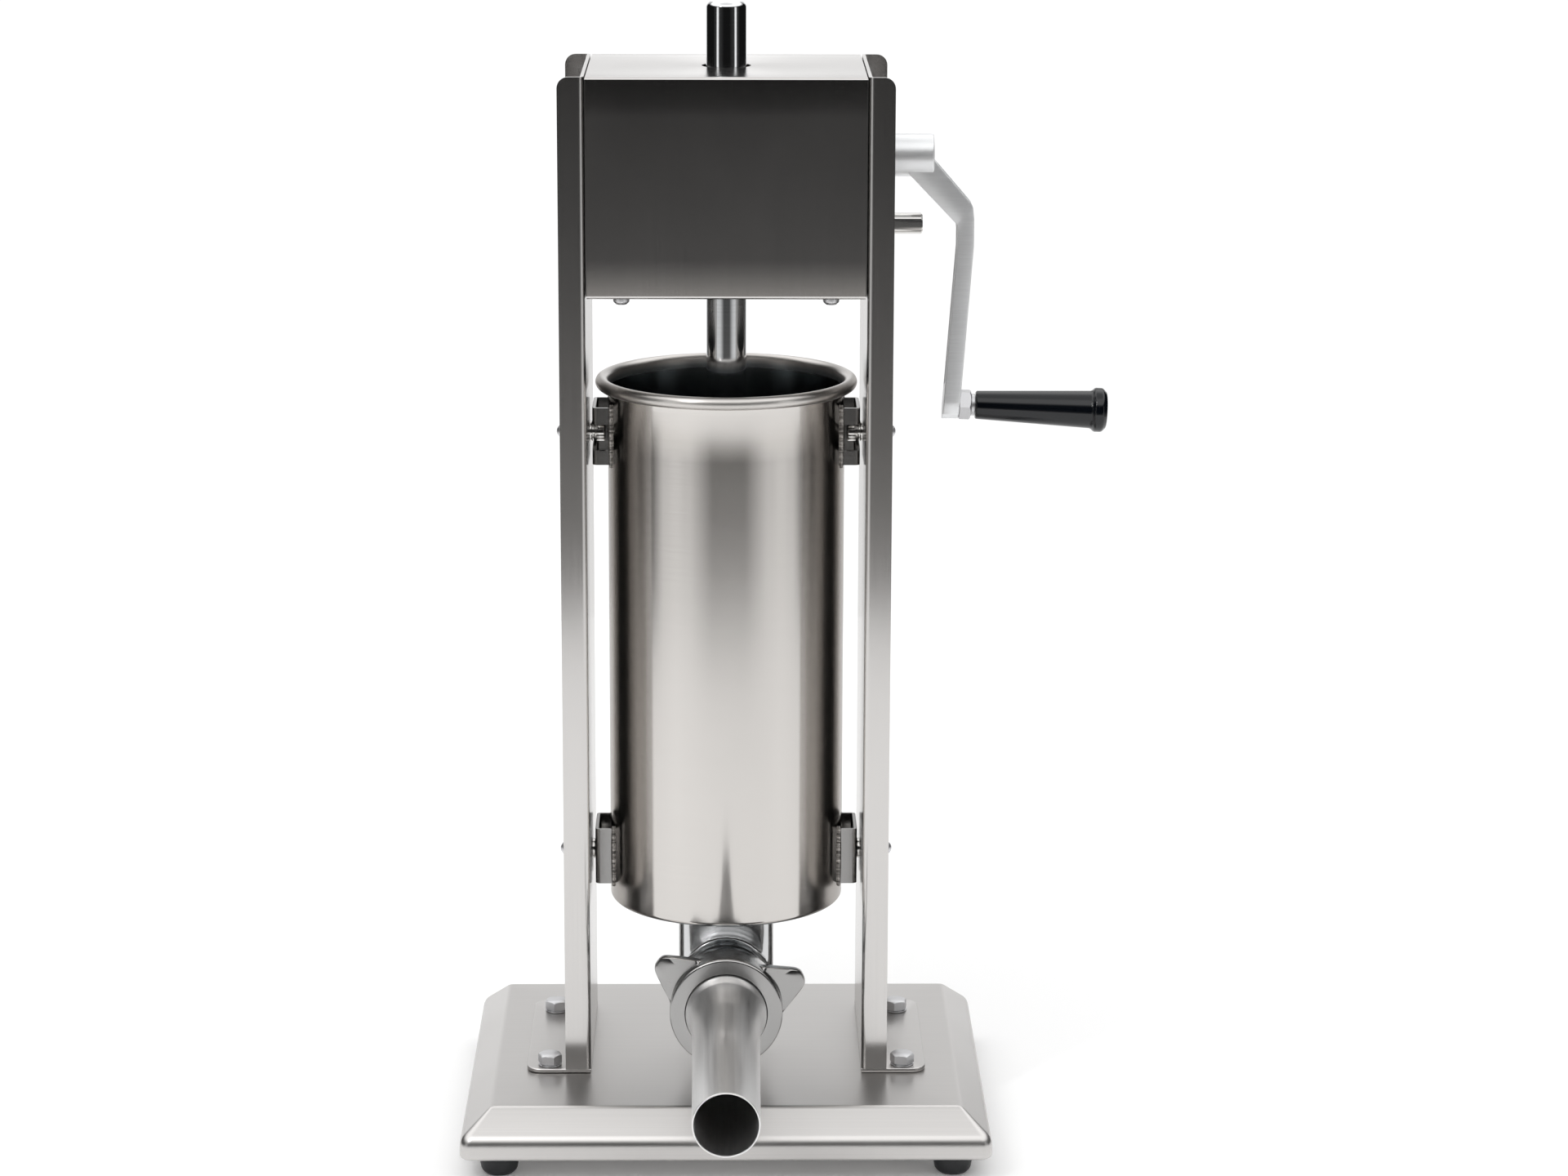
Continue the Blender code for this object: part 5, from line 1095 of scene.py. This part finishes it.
def arm_stations():
    """The arm's centre line in (x, z), from hub to foot, as a filleted polyline."""
    crank = settings("stuffer_crank")
    foot_x = AXIS[0] + 0.1358
    bend_x = AXIS[0] + 0.1429
    lean = (bend_x - foot_x) / (CRANK_THROW - 0.054)
    end_drop = CRANK_THROW + 0.0085
    half = crank.arm_thickness / 2
    outer = [(AXIS[0] + 0.1226, -0.0010), (bend_x + half * 0.82, -0.0292),
             (bend_x + half, -0.0375), (bend_x + half, -0.054),
             (foot_x - lean * 0.0085 + half, -end_drop)]
    inner = [(AXIS[0] + 0.1035, -0.0050), (bend_x - half * 1.10, -0.0405),
             (bend_x - half, -0.0440), (bend_x - half, -0.054),
             (foot_x - lean * 0.0085 - half, -end_drop)]
    outer = filleted(outer, [0, 0.007, 0.006, 0.02, 0], 8, False)
    inner = filleted(inner, [0, 0.003, 0.003, 0.02, 0], 8, False)
    return divided(outer, inner, 0.004)


def crank_arm():
    """A dog-leg arm lofted between its outer and inner edges, with a groove down each.

    At each station the section runs across Y: u goes from outer to inner edge, v = +-width / 2,
    and the groove pulls both edges in by depth over the middle of the width."""
    crank = settings("stuffer_crank")
    outer, inner = arm_stations()
    width = crank.arm_width / 2
    groove, depth = 0.0052, 0.0016
    edge = 0.0011
    v = np.array([-width, -width, -width + edge * 0.3, -width + edge, -groove - 0.0006, -groove,
                  groove, groove + 0.0006, width - edge, width - edge * 0.3, width, width])
    pull = np.array([0.5, edge, edge * 0.3, 0, 0, 1, 1, 0, 0, edge * 0.3, edge, 0.5])
    inset = np.where(pull == 1, depth, pull)
    count = len(outer)
    z_foot = -CRANK_THROW
    rings = []
    for i in range(count):
        across = inner[i] - outer[i]
        length = np.linalg.norm(across)
        across = across / length
        z = outer[i][1]
        rounding = 1.0
        if z < z_foot:
            t = min((z_foot - z) / 0.0086, 0.995)
            rounding = math.sqrt(1 - t * t)
        near_hub = min(1.0, max(0.0, (-0.004 - z) / 0.006))
        near_foot = min(1.0, max(0.0, (z + 0.139) / 0.004))
        fade = near_hub * near_foot
        side_inset = np.where(inset == depth, depth * fade, inset)
        side_inset = np.where(pull == 0.5, length / 2, side_inset)
        front = outer[i] + across * side_inset[:, None]
        back = inner[i] - across * side_inset[::-1][:, None]
        vs = v * rounding
        keep_front = np.stack([front[:, 0], vs, front[:, 1]], 1)
        keep_back = np.stack([back[:, 0], vs[::-1], back[:, 1]], 1)
        rings.append(np.concatenate([keep_front[:-1], keep_back[:-1]]))
    rings = np.array(rings)
    rings[:, :, 1] += SHAFT[1]
    rings[:, :, 2] += SHAFT[2]
    lo = low("crank_arm")
    hub_end = AXIS[0] + 0.1236
    outline = [(0.0066, lo[0]), (0.0128, lo[0]), (0.0128, hub_end), (0, hub_end)]
    profile = filleted(outline, [0.0006, 0.0012, 0.0010, 0], 5, False)
    blind_end = hub_end - 0.0025
    profile = np.concatenate([[(0, blind_end), (0.0066, blind_end)], profile])
    arm = raw_piece("crank_casting", shell(rings))
    combine(arm, [turned(profile, "X", SHAFT[1:], 72)], "UNION")
    finish_piece(arm, "satin_alloy", "rack_shaft_body", ["crank_arm"], 32)


def grip_parts():
    """Nut, shoulder bolt and grip, turned about an axis that droops outward."""
    crank = settings("stuffer_crank")
    origin = (AXIS[0] + 0.1408, SHAFT[1], SHAFT[2] - CRANK_THROW)
    tilt = crank.grip_tilt
    nut = hex_head(0.0165, "X", (0, 0), 0, 0.0068, 0.0008, math.pi / 6, bore=0.0041)
    make_piece("arm_nut", tilted(nut, origin, tilt), "zinc_plate", "rack_shaft_body",
               ["grip_nut"])
    start, length = 0.0096, 0.0795
    end = start + length
    outline = [(0, -0.0085), (0.004, -0.0085), (0.004, 0.0071), (0.0066, 0.0071), (0.0066, 0.0093),
               (0.004, 0.0093), (0.004, end - 0.0042), (0.0062, end - 0.0042),
               (0.0060, end - 0.0016), (0.0030, end - 0.0012), (0, end - 0.0012)]
    radii = [0, 0.0005, 0, 0.0003, 0.0003, 0, 0, 0.0002, 0.0008, 0, 0]
    profile = filleted(outline, radii, 3, False)
    make_piece("shoulder_bolt", tilted(turned(profile, "X", (0, 0), 40), origin, tilt),
               "zinc_plate", "rack_shaft_body", ["grip_bolt"])
    outline = [(0.0043, start), (0.0085, start), (0.0114, end - 0.0100), (0.0119, end - 0.0088),
               (0.0134, end - 0.0072), (0.0134, end - 0.0026), (0.0108, end), (0.0072, end),
               (0.0072, end - 0.0045), (0.0043, end - 0.0045)]
    radii = [0.0004, 0.0012, 0.002, 0.0007, 0.0022, 0.0026, 0.0018, 0.0006, 0, 0.0003]
    profile = filleted(outline, radii, 7)
    make_piece("moulded_grip", tilted(turned(profile, "X", (0, 0), 96), origin, tilt),
               "grip_plastic", "grip_body", ["handle_grip"], 45)


# ------------------------------------------------------------------ outlet, nut and tube
def outlet_casting():
    """The CAD elbow's own shape, remeshed finely and relaxed so that its edges read as cast."""
    piece = placed("outlet_elbow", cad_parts["outlet"].data.copy())
    weld = piece.modifiers.new("weld", "WELD")
    weld.merge_threshold = 0.00001
    remesh = piece.modifiers.new("remesh", "REMESH")
    remesh.mode = "VOXEL"
    remesh.voxel_size = 0.0008
    relax = piece.modifiers.new("relax", "SMOOTH")
    relax.factor = 0.5
    relax.iterations = 10
    bpy.context.view_layer.update()
    apply_modifiers(piece)
    finish_piece(piece, "outlet_alloy", FRAME_BODY, ["outlet"], 60)


def ring_nut():
    """A ring with wings in one surface over (angle, station).

    radius = ring + f * (wing(a) - ring), where f is 0 on the ring and 1 on the wings' tips, and
    wing(a) falls from the tip along straight flanks. Where there is no wing the stations spread
    evenly over the ring, so no faces fold flat."""
    lo, hi = CAD["ring_nut"]
    centre = np.array([AXIS[0], OUTLET_AXIS_Z])
    front, back = lo[1], hi[1]
    ring, tip, opening, bore = 0.0335, 0.0505, 0.0247, 0.0290
    count = settings("stuffer_barrel").wings
    sides = 360
    a = np.arange(sides) * 2 * math.pi / sides
    first = math.radians(24.2)
    off = (a - first + math.pi / count) % (2 * math.pi / count) - math.pi / count
    off = np.abs(off)
    tip_half, root_half = math.radians(5.0), math.radians(28.0)
    x0, y0 = ring * math.cos(root_half), ring * math.sin(root_half)
    x1, y1 = tip * math.cos(tip_half), tip * math.sin(tip_half)
    slope = (y1 - y0) / (x1 - x0)
    flank = (y0 - slope * x0) / (np.sin(off) - slope * np.cos(off) + 1e-9)
    flank = np.where(off < root_half, flank, ring)
    end = x1 / np.cos(np.minimum(off, 1.0))
    wing = np.minimum(np.where(off < 1.2, flank, ring), end)
    wing = np.maximum(wing, ring)
    kernel = np.array([1, 2, 3, 2, 1.0])
    kernel /= kernel.sum()
    for _ in range(3):
        padded = np.concatenate([wing[-2:], wing, wing[:2]])
        wing = np.convolve(padded, kernel, "valid")
    present = np.clip((wing - ring) / 0.0025, 0, 1)
    present = present**2 * (3 - 2 * present)
    w0, w1 = front + 0.0070, front + 0.0138
    f = np.array([0, 0.04, 0.5, 0.93, 0.985, 1.0, 1.0, 0.985, 0.93, 0.5, 0.04, 0])
    on_wing = np.array([w0 - 0.0012, w0 - 0.0002, w0, w0, w0 + 0.0004, w0 + 0.0012, w1 - 0.0012,
                        w1 - 0.0004, w1, w1, w1 + 0.0002, w1 + 0.0012])
    even = np.linspace(w0 - 0.0012, w1 + 0.0012, len(f))
    y_mid = even[:, None] + (on_wing - even)[:, None] * present[None]
    r_mid = ring + f[:, None] * (wing - ring)[None]
    seat = front + 0.004
    edge = filleted([(opening, front), (ring, front), (ring, w0 - 0.0012)],
                    [0.0004, 0.0014, 0], 5, False)[:-1]
    rear = filleted([(ring, w1 + 0.0012), (ring, back), (bore, back), (bore, seat), (opening, seat),
                     (opening, front)], [0, 0.0014, 0.0006, 0, 0.0003, 0.0004], 5, False)[1:]
    radii = np.concatenate([np.broadcast_to(edge[:, :1], (len(edge), sides)), r_mid,
                            np.broadcast_to(rear[:, :1], (len(rear), sides))])
    ys = np.concatenate([np.broadcast_to(edge[:, 1:], (len(edge), sides)), y_mid,
                         np.broadcast_to(rear[:, 1:], (len(rear), sides))])
    across = centre + radii[..., None] * np.stack([np.cos(a), np.sin(a)], 1)[None]
    rings = axis_points("Y", across, ys)
    make_piece("winged_nut", shell(rings, wrap=True), "nut_alloy", "ring_nut_body",
               ["ring_nut"], 38)


def stuffing_tube():
    """A turned tube: flange, rounded shoulder, cone and a long slight taper to a rolled tip."""
    lo, hi = CAD["stuffing_tube"]
    y = AXIS[1]
    tip, seat = lo[1], hi[1] - 0.0025
    outline = [(0.0280, hi[1]), (0.0280, seat), (0.0241, seat), (0.0241, y - 0.1085),
               (0.0222, y - 0.1135), (0.0199, y - 0.144), (0.0190, tip), (0.0180, tip),
               (0.0189, y - 0.144), (0.0212, y - 0.1135), (0.0221, hi[1])]
    radii = [0.0004, 0.0006, 0.0012, 0.003, 0.012, 0.10, 0.0004, 0.0004, 0.10, 0.012, 0.0003]
    profile = filleted(outline, radii, 8)
    centre = (AXIS[0], OUTLET_AXIS_Z)
    make_piece("spun_tube", turned(profile, "Y", centre, 128), "tube_steel", FRAME_BODY,
               ["stuffing_tube"], 40)
    lo, hi = CAD["tube_gasket"]
    outline = [(0.0228, hi[1]), (0.0280, hi[1]), (0.0280, lo[1]), (0.0228, lo[1])]
    make_piece("gasket_ring", turned(filleted(outline, 0.0004, 3), "Y", centre, 96),
               "food_rubber", FRAME_BODY, ["tube_gasket"])


def hidden_nodes():
    """Gears, bushes, guides and the case's inner frame keep their CAD shape and get finishes."""
    finishes = {"gear_case": "sheet_steel", "crank_set_screw": "gear_steel"}
    for name in CAD:
        if "bush" in name or "rod_guide" in name:
            finishes[name] = "bearing_bronze"
        elif name in ("rack_pinion", "large_gear", "small_pinion"):
            finishes[name] = "gear_steel"
    for name, finish in finishes.items():
        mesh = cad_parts[name].data
        for index in range(len(mesh.materials)):
            mesh.materials[index] = look(finish)


# ------------------------------------------------------------------ stage
def floor_material():
    """Matt white with a little emission, so that the floor reads as white all over."""
    material, tree, shader = new_material("pale_floor", (0.95, 0.95, 0.95), 0.0, 0.65)
    noise = node(tree, "ShaderNodeTexNoise", Scale=30.0)
    place = node(tree, "ShaderNodeTexCoord")
    wire(tree, (place, "Object", noise, "Vector"))
    vary(tree, noise.outputs["Fac"], 0.6, 0.7, shader.inputs["Roughness"])
    shader.inputs["Emission Color"].default_value = (1, 1, 1, 1)
    shader.inputs["Emission Strength"].default_value = 0.09
    return material


def studio_world():
    """White for the camera. For other rays, soft panels to the front left and front right, a
    dark gap between them, a pale room behind and a bright band above, all by direction."""
    world = bpy.data.worlds.new("studio")
    bpy.context.scene.world = world
    world.use_nodes = True
    tree = world.node_tree
    place = node(tree, "ShaderNodeTexCoord")
    split = node(tree, "ShaderNodeSeparateXYZ")
    climb = maths(tree, "ARCSINE")
    height = ranged(tree, -math.pi / 2, math.pi / 2)
    back = maths(tree, "MULTIPLY", -1)
    turn = maths(tree, "ARCTAN2")
    shift = maths(tree, "SUBTRACT", 0.04)
    size = maths(tree, "ABSOLUTE")
    round_about = ranged(tree, 0, math.pi)
    wire(
        tree,
        (place, "Generated", split, "Vector"),
        (split, "Z", climb, 0),
        (climb, "Value", height, "Value"),
        (split, "Y", back, 0),
        (split, "X", turn, 0),
        (back, "Value", turn, 1),
        (turn, "Value", shift, 0),
        (shift, "Value", size, 0),
        (size, "Value", round_about, "Value"),
    )

    def ramp(source, stops, lowest=0, warm_below=None):
        """Grey values at angles in degrees, over the 180 degrees that start at lowest; stops at
        or below warm_below are a little warmer."""
        made = node(tree, "ShaderNodeValToRGB")
        elements = made.color_ramp.elements
        while len(elements) < len(stops):
            elements.new(0.5)
        for element, (degrees, value) in zip(elements, stops):
            element.position = (degrees - lowest) / 180
            warm = 0.03 if warm_below is not None and degrees <= warm_below else 0
            element.color = (value * (1 + warm), value, value * (1 - warm * 1.2), 1)
        wire(tree, (source, "Result", made, "Fac"))
        return made.outputs["Color"]

    above = [(33, 0.50), (39, 1.55), (64, 1.55), (72, 1.0), (90, 0.92)]
    gap = [(-90, 0.5), (-18, 0.45), (-14, 0.24), (-10, 0.085), (-6, 0.012), (0, 0.008),
           (26, 0.008), *above]
    panels = [(-90, 0.9), (-20, 0.95), (-12, 0.88), (-8.5, 0.50), (-5, 0.09), (0, 0.04),
              (26, 0.03), *above]
    room = [(-90, 0.8), (-10, 1.0), (3, 1.18), (9, 1.1), (18, 0.78), *above]
    strips = [(-90, 0), (-9, 0), (-6, 1.0), (18, 1.0), (24, 0)]
    total = None
    for levels, weights in (
        (gap, [(0, 1), (16, 1), (38, 0), (66, 0), (78, 1), (140, 1), (156, 0)]),
        (panels, [(16, 0), (38, 1), (66, 1), (78, 0)]),
        (room, [(140, 0), (156, 1)]),
        (strips, [(44, 0), (48, 1), (56, 1), (60, 0)]),
    ):
        level = ramp(height, levels, lowest=-90, warm_below=-14)
        part = blend(tree, level, ramp(round_about, weights), 1, "MULTIPLY")
        total = part if total is None else blend(tree, total, part, 1, "ADD")
    path = node(tree, "ShaderNodeLightPath")
    seen = blend(tree, total, (1.06, 1.06, 1.06, 1), path.outputs["Is Camera Ray"])
    tree.links.new(seen, tree.nodes["Background"].inputs["Color"])


def strip_light(location, target):
    """A tall narrow area light to the front left, turned to face its target."""
    light = bpy.data.lights.new("key_strip", "AREA")
    light.shape = "RECTANGLE"
    light.size, light.size_y = 0.10, 1.1
    light.energy = 9
    lamp = placed("key_strip", light)
    lamp.location = location
    aim = Vector(target) - Vector(location)
    lamp.rotation_euler = aim.to_track_quat("-Z", "Y").to_euler()


def stage():
    """A round pale floor, the world, one strip light and the camera."""
    sizes = settings("stuffer_stage")
    sides = 128
    loops = np.array([0.25, 0.5, 0.75, 1.0])[:, None, None] * sizes.floor_radius
    rings = axis_points("Z", loops * circle(sides)[None], 0.0)
    faces = grid_faces(len(loops), sides).tolist() + [list(range(sides - 1, -1, -1))]
    floor = raw_piece("floor", (rings.reshape(-1, 3), faces))
    floor.data.materials.append(floor_material())
    studio_world()
    strip_light((-1.2, -1.5, 2.1), (0, 0, 0.4))
    camera = bpy.data.cameras.new("camera")
    camera.lens = sizes.lens
    camera.sensor_width = 36
    camera.clip_end = 60
    holder = placed("camera", camera)
    place = Matrix.Translation((AXIS[0], AXIS[1] - sizes.distance, sizes.height))
    turn = Matrix.Rotation(-sizes.yaw, 4, "Z")
    turn @= Matrix.Rotation(math.pi / 2 - sizes.pitch, 4, "X")
    turn @= Matrix.Rotation(sizes.roll, 4, "Z")
    holder.matrix_world = place @ turn
    bpy.context.scene.camera = holder
    bpy.context.scene.view_settings.view_transform = "Standard"


# ------------------------------------------------------------------ operators and panel
def operator(identifier, label, description, *makers):
    """An operator class that runs the given makers in order. A maker that can't finish raises an
    error, which ends the script."""

    def execute(self, context):
        for make in makers:
            make()
        return {"FINISHED"}

    name = "STUFFER_OT_" + identifier
    members = {
        "__doc__": description,
        "bl_idname": "stuffer." + identifier,
        "bl_label": label,
        "bl_options": {"REGISTER", "UNDO"},
        "execute": execute,
    }
    return type(name, (bpy.types.Operator,), members)


OPERATORS = (
    operator("base", "Base pan and feet", "Press the base pan and add its feet", base_pan, feet),
    operator("columns", "Columns", "Fold the columns and bolt them down", columns, column_bolts),
    operator("barrel", "Barrel", "Spin the barrel with its rolled rim", barrel),
    operator("hangers", "Brackets and pins", "Fold the brackets and turn the pins", brackets,
             hangers),
    operator("case", "Gear case", "Fold the cover and add its screws", case_cover, case_screws),
    operator("ram", "Ram and piston", "Cut the toothed ram and turn the piston", ram_rod,
             piston_parts),
    operator("crank", "Crank", "Make the shafts, crank and grip", shafts, crank_arm, grip_parts),
    operator("outlet", "Outlet and tube", "Cast the outlet and nut, spin the tube",
             outlet_casting, ring_nut, stuffing_tube),
    operator("inside", "Hidden parts", "Give the gears and bushes their finishes", hidden_nodes),
    operator("stage", "Stage", "Add the floor, world, light and camera", stage),
)


class STUFFER_PT_panel(bpy.types.Panel):
    """Lists the stuffer's pieces and the stage."""

    bl_label = "Sausage stuffer"
    bl_idname = "STUFFER_PT_panel"
    bl_space_type = "VIEW_3D"
    bl_region_type = "UI"
    bl_category = "Stuffer"

    def draw(self, context):
        for made in OPERATORS:
            self.layout.operator(made.bl_idname)


GROUPS = {
    "stuffer_sheet": StufferSheetSettings,
    "stuffer_barrel": StufferBarrelSettings,
    "stuffer_crank": StufferCrankSettings,
    "stuffer_stage": StufferStageSettings,
}


def register():
    """Registers the settings, the operators and the panel."""
    for name, group in GROUPS.items():
        bpy.utils.register_class(group)
        setattr(bpy.types.Scene, name, bpy.props.PointerProperty(type=group))
    for made in (*OPERATORS, STUFFER_PT_panel):
        bpy.utils.register_class(made)


def unregister():
    for made in reversed((*OPERATORS, STUFFER_PT_panel)):
        bpy.utils.unregister_class(made)
    for name, group in GROUPS.items():
        delattr(bpy.types.Scene, name)
        bpy.utils.unregister_class(group)


def main():
    """Runs every operator in order."""
    register()
    for made in OPERATORS:
        getattr(bpy.ops.stuffer, made.bl_idname.split(".")[1])()


if __name__ == "__main__":
    main()
